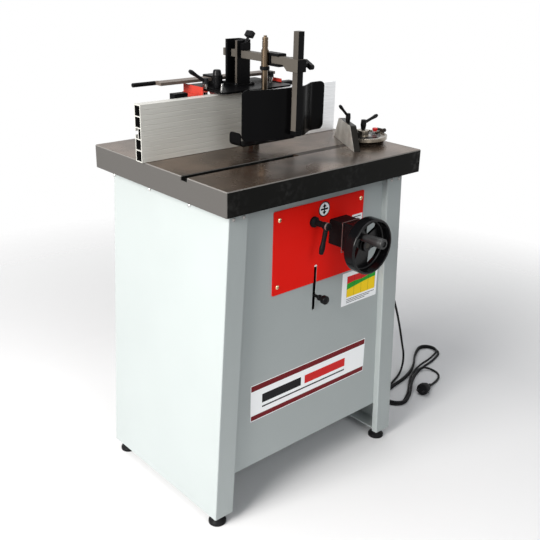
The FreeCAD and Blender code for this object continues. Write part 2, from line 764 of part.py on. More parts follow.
def make_handwheel():
    base = Vector(WHEEL_X, WHEEL_BACK, WHEEL_Z)
    inner = WHEEL_RADIUS - WHEEL_RIM
    web = WHEEL_SET_BACK + WHEEL_WEB
    rim_end = WHEEL_SET_BACK + WHEEL_WIDTH
    wheel = turned([(SHAFT_RADIUS, 0), (WHEEL_HUB, 0, 1.5), (WHEEL_HUB, WHEEL_SET_BACK, 3),
                    (WHEEL_RADIUS, WHEEL_SET_BACK, 4), (WHEEL_RADIUS, rim_end, 4), (inner, rim_end, 1.5),
                    (inner, web, 4), (WHEEL_HUB, web, 2), (WHEEL_HUB, WHEEL_HUB_LENGTH, 1.5),
                    (SHAFT_RADIUS, WHEEL_HUB_LENGTH)], base, -Y)
    openings = []
    outer = inner - 4
    for i in range(WHEEL_OPENINGS):
        turn = WHEEL_OPENING_TURN + 360.0 * i / WHEEL_OPENINGS
        corners = []
        for radius, aside, corner in ((WHEEL_HUB + 6, 0, 4), (outer, OPENING_SPREAD, 5), (outer, 0, 40),
                                      (outer, -OPENING_SPREAD, 5)):
            spot = wheel_spot(radius, turn + aside, 0)
            corners.append((spot.x, spot.z, corner))
        openings.append(prism(corners, on_xz(WHEEL_BACK + 1), -Y * rim_end))
    bolt_base = wheel_spot(GRIP_ORBIT, GRIP_TURN, WHEEL_BACK - web + 1)
    bolt = rod(bolt_base, -Y, GRIP_BOLT, GRIP_LENGTH - 3)
    head = rod(bolt_base - Y * (GRIP_LENGTH - 5), -Y, GRIP_BOLT_HEAD, 4)
    return fused([wheel.cut(openings), bolt, head])


def make_handwheel_shaft():
    end = GEARBOX_FRONT + GEARBOX_SOCKET - SLIDE_GAP
    front = WHEEL_BACK - WHEEL_HUB_LENGTH + 1
    return rod(Vector(WHEEL_X, front, WHEEL_Z), Y, SHAFT_RADIUS, end - front)


def make_handwheel_grip():
    web = WHEEL_BACK - WHEEL_SET_BACK - WHEEL_WEB - SLIDE_GAP
    base = wheel_spot(GRIP_ORBIT, GRIP_TURN, web)
    grip = turned([(0, 0), (GRIP_ROOT, 0, 1), (GRIP_END, GRIP_LENGTH * 0.85, 30),
                   (GRIP_END * 0.92, GRIP_LENGTH, 3), (0, GRIP_LENGTH)], base, -Y)
    bore = rod(base + Y, -Y, GRIP_BOLT + RUN_GAP, GRIP_LENGTH + 2)
    sink = rod(base - Y * (GRIP_LENGTH - 6 - 2 * SLIDE_GAP), -Y, GRIP_BOLT_HEAD + SLIDE_GAP, 20)
    return grip.cut([bore, sink])


def make_height_lock_lever():
    base = Vector(LOCK_LEVER_X, PLATE_FACE, LOCK_LEVER_Z)
    hub = turned([(0, SLIDE_GAP), (13, SLIDE_GAP, 1), (13, 7, 2), (8, 11, 2), (7, 30, 6), (9, 36, 2),
                  (9, LOCK_LEVER_REACH, 2), (0, LOCK_LEVER_REACH)], base, -Y)
    down = Vector(-math.sin(math.radians(LOCK_LEVER_LEAN)), 0, -math.cos(math.radians(LOCK_LEVER_LEAN)))
    root = base - Y * (LOCK_LEVER_REACH - 9)
    arm = turned([(0, 0), (6, 0), (5.5, LOCK_LEVER_ARM * 0.6), (7, LOCK_LEVER_ARM * 0.9, 4),
                  (5, LOCK_LEVER_ARM + 8, 3), (0, LOCK_LEVER_ARM + 8)], root, down)
    stud = rod(base - Y * 5, Y, LOCK_STUD, CARRIAGE_FRONT - SLIDE_GAP - PLATE_FACE + 5)
    return fused([hub, arm, stud])


# Lifting mechanism inside

def make_lift_gearbox():
    left = WHEEL_X - GEARBOX_HALF
    right = WHEEL_X + GEARBOX_HALF
    case = box(left, right, GEARBOX_FRONT, GEARBOX_BACK, GEARBOX_BOTTOM, GEARBOX_TOP)
    case = case.makeFillet(5, edges_along(case, Z))
    web = box(left + 8, right - 8, GEARBOX_BACK - HANGER_THICK, GEARBOX_BACK, GEARBOX_TOP - 1, TABLE_UNDER)
    pad = box(left, right, GEARBOX_FRONT + 10, GEARBOX_BACK, TABLE_UNDER - HANGER_THICK, TABLE_UNDER)
    socket = rod(Vector(WHEEL_X, GEARBOX_FRONT - 1, WHEEL_Z), Y, SHAFT_RADIUS + RUN_GAP, GEARBOX_SOCKET + 1)
    screw = rod(Vector(WHEEL_X, SCREW_Y, GEARBOX_BOTTOM - 1), Z, SCREW_RADIUS + RUN_GAP, GEARBOX_SOCKET - 3)
    return fused([case, web, pad]).cut([socket, screw])


def make_lift_guides():
    pillars = [rod(Vector(x, PILLAR_Y, PILLAR_BOTTOM), Z, PILLAR_RADIUS, TABLE_UNDER - PILLAR_BOTTOM)
               for x in (-PILLAR_X, PILLAR_X)]
    reach = PILLAR_RADIUS + TIE_EDGE
    corners = [(-PILLAR_X - reach, PILLAR_Y + reach, 8), (-PILLAR_X - reach, PILLAR_Y - reach, 8),
               (WHEEL_X - reach, SCREW_Y - reach, 0), (WHEEL_X + reach, SCREW_Y - reach, 8),
               (WHEEL_X + reach, PILLAR_Y + reach, 8)]
    tie = prism(corners, on_xy(PILLAR_BOTTOM), Z * TIE_THICK)
    journal = rod(Vector(WHEEL_X, SCREW_Y, PILLAR_BOTTOM + 5), Z, SCREW_RADIUS + RUN_GAP, TIE_THICK)
    return Part.makeCompound(pillars + [tie.cut(pillars + [journal])])


def make_lift_screw():
    low = PILLAR_BOTTOM + 5 + RUN_GAP
    high = GEARBOX_BOTTOM + GEARBOX_SOCKET - 4 - SLIDE_GAP
    return rod(Vector(WHEEL_X, SCREW_Y, low), Z, SCREW_RADIUS, high - low)


def make_carriage():
    height = CARRIAGE_TOP - CARRIAGE_BOTTOM
    bosses = [rod(Vector(x, PILLAR_Y, CARRIAGE_BOTTOM), Z, CARRIAGE_BOSS, height)
              for x in (-PILLAR_X, PILLAR_X)]
    front = box(-PILLAR_X, PILLAR_X, CARRIAGE_FRONT, CARRIAGE_FRONT + CARRIAGE_WEB,
                CARRIAGE_BOTTOM, CARRIAGE_TOP)
    half_web = CARRIAGE_WEB / 2
    webs = [box(x - half_web, x + half_web, CARRIAGE_FRONT, SPINDLE_Y, CARRIAGE_BOTTOM, CARRIAGE_TOP)
            for x in (-QUILL_RADIUS * 0.6, QUILL_RADIUS * 0.6)]
    quill = rod(Vector(0, SPINDLE_Y, CARRIAGE_BOTTOM), Z, QUILL_RADIUS, QUILL_TOP - CARRIAGE_BOTTOM)
    edge = MOTOR_FLANGE + SHELF_MARGIN
    shelf_bottom = CARRIAGE_BOTTOM - SHELF_THICK
    corners = [(MOTOR_X - edge, MOTOR_Y - edge, 30), (PILLAR_X + CARRIAGE_BOSS, CARRIAGE_FRONT, 8),
               (PILLAR_X + CARRIAGE_BOSS, SPINDLE_Y + QUILL_RADIUS, 30), (MOTOR_X - edge, MOTOR_Y + edge, 30)]
    shelf = prism(corners, on_xy(shelf_bottom), Z * SHELF_THICK)
    lug = box(WHEEL_X - NUT_BOSS, WHEEL_X + NUT_BOSS, SCREW_Y - NUT_BOSS, PILLAR_Y,
              NUT_BOSS_BOTTOM, NUT_BOSS_TOP)
    lug = lug.makeFillet(8, edges_along(lug, Z))
    guide = box(-12, 12, CARRIAGE_FRONT + CARRIAGE_WEB, SPINDLE_Y - COLLAR_RADIUS - 10,
                LOCK_Z - 11, CARRIAGE_BOTTOM - SHELF_THICK / 2)
    casting = fused([quill, front, shelf, lug, guide] + bosses + webs)
    low = PILLAR_BOTTOM
    tall = TABLE_HEIGHT
    cuts = [rod(Vector(x, PILLAR_Y, low), Z, PILLAR_RADIUS + RUN_GAP, tall) for x in (-PILLAR_X, PILLAR_X)]
    cuts.append(rod(Vector(0, SPINDLE_Y, low), Z, QUILL_BORE, tall))
    cuts.append(rod(Vector(0, SPINDLE_Y, CARRIAGE_BOTTOM), Z, BEARING_RADIUS, BEARING_WIDTH))
    cuts.append(rod(Vector(0, SPINDLE_Y, QUILL_TOP - BEARING_WIDTH), Z, BEARING_RADIUS, BEARING_WIDTH + 1))
    cuts.append(rod(Vector(WHEEL_X, SCREW_Y, low), Z, SCREW_RADIUS + RUN_GAP, tall))
    cuts.append(rod(Vector(MOTOR_X, MOTOR_Y, low), Z, MOTOR_SHAFT + 6, CARRIAGE_BOTTOM - low + 1))
    cuts.append(rod(Vector(0, PANEL_FACE, LOCK_Z), Y, LOCK_ROD + RUN_GAP, SPINDLE_Y - PANEL_FACE))
    return casting.cut(cuts)


def make_spindle_bearings():
    bore = JOURNAL_RADIUS + RUN_GAP / 2
    inner = bore + 3.5
    outer = BEARING_RADIUS - 3.5
    seal = 1.0
    profile = [(bore, 0), (inner, 0), (inner, seal), (outer, seal), (outer, 0), (BEARING_RADIUS, 0),
               (BEARING_RADIUS, BEARING_WIDTH), (outer, BEARING_WIDTH), (outer, BEARING_WIDTH - seal),
               (inner, BEARING_WIDTH - seal), (inner, BEARING_WIDTH), (bore, BEARING_WIDTH)]
    return Part.makeCompound([turned(profile, Vector(0, SPINDLE_Y, z), Z)
                              for z in (CARRIAGE_BOTTOM, QUILL_TOP - BEARING_WIDTH)])


def make_spindle():
    shoulder_low = CARRIAGE_BOTTOM + BEARING_WIDTH + SLIDE_GAP
    shoulder_high = QUILL_TOP - BEARING_WIDTH - SLIDE_GAP
    profile = [(0, TAIL_BOTTOM), (TAIL_RADIUS, TAIL_BOTTOM, 1), (TAIL_RADIUS, LOCK_Z - COLLAR_HALF),
               (COLLAR_RADIUS, LOCK_Z - COLLAR_HALF, 1), (COLLAR_RADIUS, LOCK_Z + COLLAR_HALF, 1),
               (JOURNAL_RADIUS, LOCK_Z + COLLAR_HALF), (JOURNAL_RADIUS, shoulder_low),
               (SPINDLE_BODY, shoulder_low), (SPINDLE_BODY, shoulder_high), (JOURNAL_RADIUS, shoulder_high),
               (JOURNAL_RADIUS, ARBOR_FLANGE_BOTTOM), (ARBOR_FLANGE, ARBOR_FLANGE_BOTTOM, 1),
               (ARBOR_FLANGE, ARBOR_SEAT, 1), (ARBOR_RADIUS, ARBOR_SEAT), (ARBOR_RADIUS, ARBOR_TOP, 2),
               (0, ARBOR_TOP)]
    shaft = turned(profile, Vector(0, SPINDLE_Y, 0), Z)
    holes = []
    for i in range(LOCK_HOLES):
        angle = 2 * math.pi * i / LOCK_HOLES
        out = Vector(math.sin(angle), -math.cos(angle), 0)
        start = Vector(0, SPINDLE_Y, LOCK_Z) + out * (COLLAR_RADIUS - LOCK_TRAVEL - 2)
        holes.append(rod(start, out, LOCK_ROD + LOOSE_GAP, 2 * LOCK_TRAVEL))
    return shaft.cut(holes)


def make_arbor_rings():
    rings = []
    z = ARBOR_SEAT
    for height in SPACER_HEIGHTS:
        ring = turned([(ARBOR_RADIUS, 0), (SPACER_RADIUS, 0, 0.8), (SPACER_RADIUS, height, 0.8),
                       (ARBOR_RADIUS, height)], Vector(0, SPINDLE_Y, z), Z)
        rings.append(ring)
        z += height
    nut = prism(polygon(6, SPACER_RADIUS), on_xy(0), Z * ARBOR_NUT_HEIGHT)
    nut = nut.cut(rod(Vector(0, 0, -1), Z, ARBOR_RADIUS, ARBOR_NUT_HEIGHT + 2))
    nut.translate(Vector(0, SPINDLE_Y, z))
    return Part.makeCompound(rings + [nut])


def pulley(bore, steps, x, y):
    profile = [(bore, PULLEY_BOTTOM)]
    z = PULLEY_BOTTOM
    for radius in steps:
        edge = radius + PULLEY_FLANGE
        profile += [(edge, z), (edge, z + PULLEY_FLANGE), (radius, z + PULLEY_FLANGE),
                    (radius, z + PULLEY_STEP - PULLEY_FLANGE), (edge, z + PULLEY_STEP - PULLEY_FLANGE),
                    (edge, z + PULLEY_STEP)]
        z += PULLEY_STEP
    profile.append((bore, z))
    return turned(profile, Vector(x, y, 0), Z)


def make_motor():
    base = Vector(MOTOR_X, MOTOR_Y, 0)
    core = MOTOR_RADIUS - 7
    cowl = MOTOR_TOP - 38
    flange = CARRIAGE_BOTTOM + 12
    body = turned([(0, CARRIAGE_BOTTOM), (MOTOR_FLANGE, CARRIAGE_BOTTOM), (MOTOR_FLANGE, flange, 2),
                   (core, flange), (core, cowl), (MOTOR_RADIUS + 2, cowl), (MOTOR_RADIUS + 2, MOTOR_TOP, 8),
                   (0, MOTOR_TOP)], base, Z)
    fins = []
    for i in range(MOTOR_FINS):
        fin = box(core - 2, MOTOR_RADIUS, -1.2, 1.2, flange - 1, cowl + 1)
        fin.rotate(Vector(0, 0, 0), Z, 360.0 * (i + 0.5) / MOTOR_FINS)
        fin.translate(base)
        fins.append(fin)
    x = MOTOR_X - MOTOR_RADIUS
    terminal = box(x - MOTOR_BOX_OUT, x + 14, MOTOR_Y - MOTOR_BOX_HALF, MOTOR_Y + MOTOR_BOX_HALF,
                   CARRIAGE_BOTTOM + MOTOR_BOX_LOW, CARRIAGE_BOTTOM + MOTOR_BOX_HIGH)
    terminal = terminal.makeFillet(4, edges_along(terminal, Z))
    socket = rod(Vector(MOTOR_X, MOTOR_Y, CARRIAGE_BOTTOM - 1), Z, MOTOR_SHAFT + RUN_GAP, 31)
    return fused([body, terminal] + fins).cut(socket)


def make_motor_pulley():
    low = PULLEY_BOTTOM - 4
    shaft = rod(Vector(MOTOR_X, MOTOR_Y, low), Z, MOTOR_SHAFT, CARRIAGE_BOTTOM + 29 - low)
    return fused([shaft, pulley(MOTOR_SHAFT - 1, MOTOR_PULLEY, MOTOR_X, MOTOR_Y)])


def belt_loop(first, second):
    """Face inside a belt line round the spindle pulley and the motor pulley."""
    a = Vector(0, SPINDLE_Y, 0)
    b = Vector(MOTOR_X, MOTOR_Y, 0)
    apart = b - a
    heading = math.atan2(apart.y, apart.x)
    spread = math.acos((first - second) / apart.Length)
    points = []
    for centre, radius, middle in ((a, first, heading + math.pi), (b, second, heading)):
        angles = (heading + spread, middle, heading - spread)
        points.append([centre + Vector(math.cos(t), math.sin(t), 0) * radius for t in angles])
    edges = [Part.Arc(*points[0]).toShape(), Part.LineSegment(points[0][2], points[1][2]).toShape(),
             Part.Arc(*points[1][::-1]).toShape(), Part.LineSegment(points[1][0], points[0][0]).toShape()]
    return Part.Face(Part.Wire(edges))


def make_drive_belt():
    inner = belt_loop(SPINDLE_PULLEY[0] + SLIDE_GAP, MOTOR_PULLEY[0] + SLIDE_GAP)
    outer = belt_loop(SPINDLE_PULLEY[0] + SLIDE_GAP + BELT_THICK, MOTOR_PULLEY[0] + SLIDE_GAP + BELT_THICK)
    width = PULLEY_STEP - 2 * (PULLEY_FLANGE + LOOSE_GAP)
    belt = outer.cut(inner).extrude(Z * width)
    belt.translate(Z * (PULLEY_BOTTOM + PULLEY_FLANGE + LOOSE_GAP))
    return belt


def make_spindle_lock():
    tip = SPINDLE_Y - COLLAR_RADIUS - LOCK_TIP_GAP
    out = tip - (PANEL_FACE - LOCK_KNOB_OUT)
    neck = tip - (PANEL_FACE - LOCK_TRAVEL - 3)
    base = Vector(0, tip, LOCK_Z)
    collar = [(LOCK_ROD, neck + 5), (LOCK_COLLAR, neck + 6.5, 1), (LOCK_COLLAR, neck + 11, 1)]
    knob = [(5, neck + 12.5), (5, neck + 15), (LOCK_KNOB, out - 6, 2), (LOCK_KNOB, out + 5, 3), (0, out + 7)]
    return turned([(0, 0), (LOCK_ROD, 0, 1)] + collar + knob, base, -Y)


# Fence and hood

def fence_profile():
    """Section of a fence board: chambers between webs, fine grooves in front, a slot at the back."""
    top = FENCE_BOTTOM + FENCE_HEIGHT
    grooved = [(FENCE_FRONT, FENCE_BOTTOM, 0)]
    pitch = FENCE_HEIGHT / (FENCE_GROOVES + 1)
    for i in range(1, FENCE_GROOVES + 1):
        z = FENCE_BOTTOM + pitch * i
        grooved += [(FENCE_FRONT, z - FENCE_GROOVE, 0), (FENCE_FRONT + FENCE_GROOVE, z, 0),
                    (FENCE_FRONT, z + FENCE_GROOVE, 0)]
    corners = grooved + [(FENCE_FRONT, top, 0), (FENCE_REAR, top, 0), (FENCE_REAR, FENCE_BOTTOM, 0)]
    section = Part.Face(rounded_wire(corners, on_yz(0)))
    room = (FENCE_HEIGHT - FENCE_WALL) / FENCE_CHAMBERS
    cuts = []
    for i in range(FENCE_CHAMBERS):
        z = FENCE_BOTTOM + FENCE_WALL + room * i
        chamber = rectangle(FENCE_FRONT + FENCE_WALL, FENCE_REAR - FENCE_WALL, z, z + room - FENCE_WALL, 1.0)
        cuts.append(Part.Face(rounded_wire(chamber, on_yz(0))))
    middle = FENCE_BOTTOM + FENCE_HEIGHT / 2
    half = FENCE_SLOT / 2
    mouth = rectangle(FENCE_REAR - FENCE_WALL - 1, FENCE_REAR + 1, middle - half, middle + half)
    cuts.append(Part.Face(rounded_wire(mouth, on_yz(0))))
    return section.cut(cuts)


def make_fence_board(x, length):
    board = fence_profile().extrude(X * length)
    board.translate(X * x)
    return board


def make_fence_carrier(x):
    """Angle behind a fence board: upright bolted in the board's slot, foot on the base plate, clamp knob."""
    y = FENCE_REAR
    foot_bottom = BASE_TOP + SLIDE_GAP
    wide = x + CARRIER_WIDTH
    upright = box(x, wide, y, y + CARRIER_DEPTH, foot_bottom, CARRIER_TOP)
    foot = box(x, wide, y, y + CARRIER_FOOT_DEPTH, foot_bottom, foot_bottom + CARRIER_FOOT)
    gusset = prism([(y + CARRIER_DEPTH - 1, foot_bottom, 0), (y + CARRIER_FOOT_DEPTH - 34, foot_bottom, 0),
                    (y + CARRIER_DEPTH - 1, foot_bottom + CARRIER_GUSSET, 0)],
                   on_yz(x + CARRIER_WIDTH / 2 - 4), X * 8)
    middle = FENCE_BOTTOM + FENCE_HEIGHT / 2
    neck = FENCE_SLOT / 2 - SLIDE_GAP
    spot = Vector(x + CARRIER_WIDTH / 2, y + CARRIER_FOOT_DEPTH - 16, foot_bottom + CARRIER_FOOT - 1)
    knob = turned([(0, 0), (6, 0), (6, 6), (CARRIER_KNOB, 9, 2), (CARRIER_KNOB, 24, 4), (0, 24)], spot, Z)
    bolt = rod(Vector(spot.x, y + 1, middle), -Y, neck, FENCE_WALL + 2)
    head = rod(Vector(spot.x, y - FENCE_WALL - SLIDE_GAP, middle), -Y, FENCE_SLOT * 0.9, 6)
    return fused([upright, foot, gusset, knob, bolt, head])


def clamp_slots(z0, z1, front):
    """Cuts that let the fence move past the two clamp studs."""
    half = CLAMP_SLOT / 2
    back = CLAMP_Y + FENCE_FORTH + half
    return [box(x - half, x + half, front, back, z0, z1) for x in (-CLAMP_X, CLAMP_X)]


def make_fence_base():
    corners = [(-BASE_HALF, BASE_FRONT, 6), (-BASE_CUT_HALF, BASE_FRONT, 4),
               (-BASE_CUT_HALF, BASE_CUT_BACK, 40), (BASE_CUT_HALF, BASE_CUT_BACK, 40),
               (BASE_CUT_HALF, BASE_FRONT, 4), (BASE_HALF, BASE_FRONT, 6), (BASE_HALF, BASE_BACK, 30),
               (-BASE_HALF, BASE_BACK, 30)]
    plate = prism(corners, on_xy(BASE_BOTTOM), Z * BASE_THICK)
    return plate.cut(clamp_slots(BASE_BOTTOM - 1, BASE_TOP + 1, BASE_FRONT - 1))


def funnel(inset, front, back):
    """Block that narrows from the hood's section to the dust spigot's square end."""
    small = PORT_RADIUS + 4 - inset
    wires = []
    for y, half, low, high in ((front, HOOD_HALF - inset, BASE_TOP + inset, HOOD_TOP - inset),
                               (back, small, PORT_Z - small, PORT_Z + small)):
        wires.append(rounded_wire(rectangle(-half, half, low, high), on_xz(y)))
    return Part.makeLoft(wires, True, True)


def make_hood():
    shell = box(-HOOD_HALF, HOOD_HALF, BASE_FRONT, HOOD_BACK, BASE_TOP, HOOD_TOP)
    spigot = rod(Vector(0, FUNNEL_BACK - SHEET, PORT_Z), Y, PORT_RADIUS, PORT_LENGTH + SHEET)
    inner = HOOD_HALF - SHEET
    hollow = box(-inner, inner, BASE_FRONT - 1, HOOD_BACK, BASE_TOP - 1, HOOD_TOP - SHEET)
    bore = rod(Vector(0, FUNNEL_BACK - 2 * SHEET, PORT_Z), Y, PORT_RADIUS - SHEET, PORT_LENGTH + 4 * SHEET)
    ridge_top = HOOD_TOP - HOOD_RIDGE_DROP
    sides = []
    for x in (-HOOD_HALF - HOOD_RIDGE, HOOD_HALF - SHEET):
        sides.append(box(x, x + HOOD_RIDGE + SHEET, BASE_FRONT, HOOD_BACK, ridge_top - HOOD_RIDGE_HEIGHT,
                         ridge_top))
    for x in (-HOOD_HALF, HOOD_HALF - SHEET):
        sides.append(box(x, x + SHEET, BASE_FRONT, HOOD_BACK, HOOD_TOP - 1, HOOD_TOP + HOOD_UPSTAND))
    outer = fused([shell, funnel(0, HOOD_BACK, FUNNEL_BACK), spigot] + sides)
    slots = clamp_slots(HOOD_TOP - 2 * SHEET, HOOD_TOP + 1, BASE_FRONT - 1)
    return outer.cut([hollow, funnel(SHEET, HOOD_BACK - 0.5, FUNNEL_BACK - SHEET), bore] + slots)


def make_cover_plate():
    corners = [(-COVER_HALF, COVER_FRONT, COVER_CORNER), (COVER_HALF, COVER_FRONT, COVER_CORNER),
               (COVER_HALF, COVER_BACK, 4), (-COVER_HALF, COVER_BACK, 4)]
    plate = prism(corners, on_xy(HOOD_TOP), Z * COVER_THICK)
    half_y = SIDE_ARM_WIDTH / 2
    half_z = SIDE_ARM_HEIGHT / 2
    bracket_end = BRACKET_X + BRACKET_LENGTH
    wall_y = half_y + BRACKET_WALL
    bracket = box(BRACKET_X, bracket_end, SIDE_ARM_Y - wall_y, SIDE_ARM_Y + wall_y, COVER_TOP - 1,
                  SIDE_ARM_Z + half_z + BRACKET_WALL)
    gap_y = half_y + SLIDE_GAP
    gap_z = half_z + SLIDE_GAP
    tunnel = box(BRACKET_X - 1, bracket_end + 1, SIDE_ARM_Y - gap_y, SIDE_ARM_Y + gap_y,
                 SIDE_ARM_Z - gap_z, SIDE_ARM_Z + gap_z)
    stud = rod(Vector(COVER_KNOB_X, COVER_KNOB_Y, HOOD_TOP - 1), Z, CLAMP_STUD + RUN_GAP, COVER_THICK + 2)
    slots = clamp_slots(HOOD_TOP - 1, COVER_TOP + 1, COVER_SLOT_FRONT)
    return fused([plate, bracket]).cut([tunnel, stud] + slots)


def make_side_arm():
    """Flat bar through the cover's bracket, with a round grip out to the left."""
    bar_left = SIDE_ARM_LEFT + SIDE_GRIP_LENGTH
    half_y = SIDE_ARM_WIDTH / 2
    half_z = SIDE_ARM_HEIGHT / 2
    bar = box(bar_left, SIDE_ARM_RIGHT, SIDE_ARM_Y - half_y, SIDE_ARM_Y + half_y,
              SIDE_ARM_Z - half_z, SIDE_ARM_Z + half_z)
    end = Vector(SIDE_ARM_LEFT, SIDE_ARM_Y + SIDE_GRIP_BACK, SIDE_ARM_Z)
    length = SIDE_GRIP_LENGTH + 2 * SIDE_GRIP
    grip = turned([(0, 0), (SIDE_GRIP, 0, 2), (SIDE_GRIP, length), (0, length)], end, X)
    return fused([bar, grip])


def make_fence_clamp(x, heading):
    base = Vector(x, CLAMP_Y, COVER_TOP + SLIDE_GAP)
    depth = COVER_TOP - TABLE_HEIGHT + CLAMP_DEPTH
    lever = clamp_lever(56.0, 32.0, stem=CLAMP_STUD, stem_length=depth)
    return placed(lever, lever_place(base, Z, heading))


def make_cover_knob():
    base = Vector(COVER_KNOB_X, COVER_KNOB_Y, COVER_TOP + SLIDE_GAP)
    tall = COVER_KNOB_HEIGHT
    knob = turned([(0, 0), (COVER_KNOB * 0.75, 0, 1), (COVER_KNOB, tall * 0.7, 6),
                   (COVER_KNOB * 0.8, tall, 4), (0, tall)], base, Z)
    return fused([knob, rod(base - Z * COVER_THICK, Z, CLAMP_STUD, COVER_THICK + 1)])


# Guard, post and hold-down

def arm_tunnel(y0, y1, gap):
    half = ARM_HALF + gap
    return box(-half, half, y0, y1, ARM_Z - half, ARM_Z + half)


def arm_screw_frame():
    lean = math.radians(ARM_SCREW_LEAN)
    axis = Vector(math.sin(lean), 0, math.cos(lean))
    top = Vector(0, COLUMN_FRONT - CLAMP_BLOCK_DEPTH / 2, CLAMP_BLOCK_TOP)
    return top, axis


def make_guard_column():
    """Channel open to the left, with square windows for the arm and a clamp block in front."""
    back = COLUMN_FRONT + COLUMN_DEPTH
    line = [(-COLUMN_HALF, COLUMN_FRONT, 0), (COLUMN_HALF, COLUMN_FRONT, 4), (COLUMN_HALF, back, 4),
            (-COLUMN_HALF, back, 0)]
    channel = prism(strip(line, COLUMN_WALL), on_xy(COVER_TOP), Z * (COLUMN_TOP - COVER_TOP))
    edge = COLUMN_BASE_EDGE
    base = prism(rectangle(-COLUMN_HALF - edge, COLUMN_HALF + edge, COLUMN_FRONT - edge, back + edge, 4),
                 on_xy(COVER_TOP), Z * COLUMN_BASE)
    block = box(-CLAMP_BLOCK_HALF, CLAMP_BLOCK_HALF, COLUMN_FRONT - CLAMP_BLOCK_DEPTH, COLUMN_FRONT + 1,
                ARM_TOP + SLIDE_GAP, CLAMP_BLOCK_TOP)
    block = block.makeFillet(3, edges_along(block, Y))
    top, axis = arm_screw_frame()
    bore = rod(top - axis * (ARM_SCREW_IN + 1), axis, ARM_SCREW + RUN_GAP, 60)
    return fused([channel, base, block]).cut([arm_tunnel(COLUMN_FRONT - 40, back + 1, SLIDE_GAP), bore])


def make_arm_screw():
    top, axis = arm_screw_frame()
    stem = rod(top - axis * ARM_SCREW_IN, axis, ARM_SCREW, ARM_SCREW_IN + ARM_SCREW_OUT)
    side = axis.cross(Y).normalize()
    place = FreeCAD.Placement(top + axis * (ARM_SCREW_OUT - 2), FreeCAD.Rotation(Y, side, axis, "ZXY"))
    knob = prism(rectangle(-12.5, 12.5, -7, 7, 4), on_xy(0), Z * 14)
    return fused([stem, placed(knob.makeFillet(2, [e for e in knob.Edges if e.BoundBox.ZMin > 13]), place)])


def make_guard_arm():
    bar = box(-ARM_HALF, ARM_HALF, ARM_FRONT - 1, ARM_BACK, ARM_Z - ARM_HALF, ARM_TOP)
    bar = bar.makeChamfer(STEEL_EDGE, edges_along(bar, Y))
    corners = [(ARM_FRONT, ARM_TOP, 0), (END_BLOCK_FRONT, ARM_TOP, 2), (END_BLOCK_FRONT, END_BLOCK_BOTTOM, 2),
               (ARM_FRONT - END_BLOCK_STEP, END_BLOCK_BOTTOM, 2), (ARM_FRONT, ARM_Z - ARM_HALF, 0)]
    block = prism(corners, on_yz(-END_BLOCK_HALF), X * 2 * END_BLOCK_HALF)
    half = POST_HALF + SLIDE_GAP
    hole = box(-half, half, POST_Y - half, POST_Y + half, END_BLOCK_BOTTOM - 1, ARM_TOP + 1)
    middle = (END_BLOCK_BOTTOM + ARM_TOP) / 2
    knob_bore = rod(Vector(POST_HALF, POST_Y, middle), X, ARM_SCREW + RUN_GAP, 20)
    return fused([bar, block]).cut([hole, knob_bore])


def make_post_knob():
    middle = (END_BLOCK_BOTTOM + ARM_TOP) / 2
    base = Vector(POST_HALF + SLIDE_GAP, POST_Y, middle)
    stem = rod(base, X, ARM_SCREW, 16)
    hub = turned([(0, 9), (8, 9, 1), (6, 16, 1), (6, 22), (0, 22)], base, X)
    wing = prism(rectangle(-17, 17, -6, 6, 5.5), on_yz(0), X * 9)
    wing.rotate(Vector(0, 0, 0), X, 25)
    wing.translate(base + X * 18)
    return fused([stem, hub, wing])


def make_guard_post():
    post = box(-POST_HALF, POST_HALF, POST_Y - POST_HALF, POST_Y + POST_HALF, POST_BOTTOM, POST_TOP)
    post = post.makeChamfer(STEEL_EDGE, edges_along(post, Z))
    wide = POST_HALF + 2
    foot = box(-wide, wide, POST_Y - wide, GUARD_FACE, POST_BOTTOM - POST_FOOT, POST_BOTTOM)
    return fused([post, foot.makeFillet(2, edges_along(foot, Z))])


def make_guard():
    """Curved guard sheet with a flat wing on its right, its corners rounded."""
    face = GUARD_FACE
    line = [(-GUARD_HALF, GUARD_END_Y, 0), (-GUARD_HALF * 0.42, face, 150), (GUARD_HALF * 0.26, face, 55),
            (GUARD_HALF * 0.66, GUARD_END_Y, 22), (GUARD_HALF, GUARD_END_Y, 0)]
    sheet = prism(strip(line, GUARD_SHEET), on_xy(GUARD_BOTTOM), Z * (GUARD_TOP - GUARD_BOTTOM))
    outline = rectangle(-GUARD_HALF, GUARD_HALF, GUARD_BOTTOM, GUARD_TOP, GUARD_CORNER)
    return sheet.common(prism(outline, on_xz(face - 20), Y * 80))


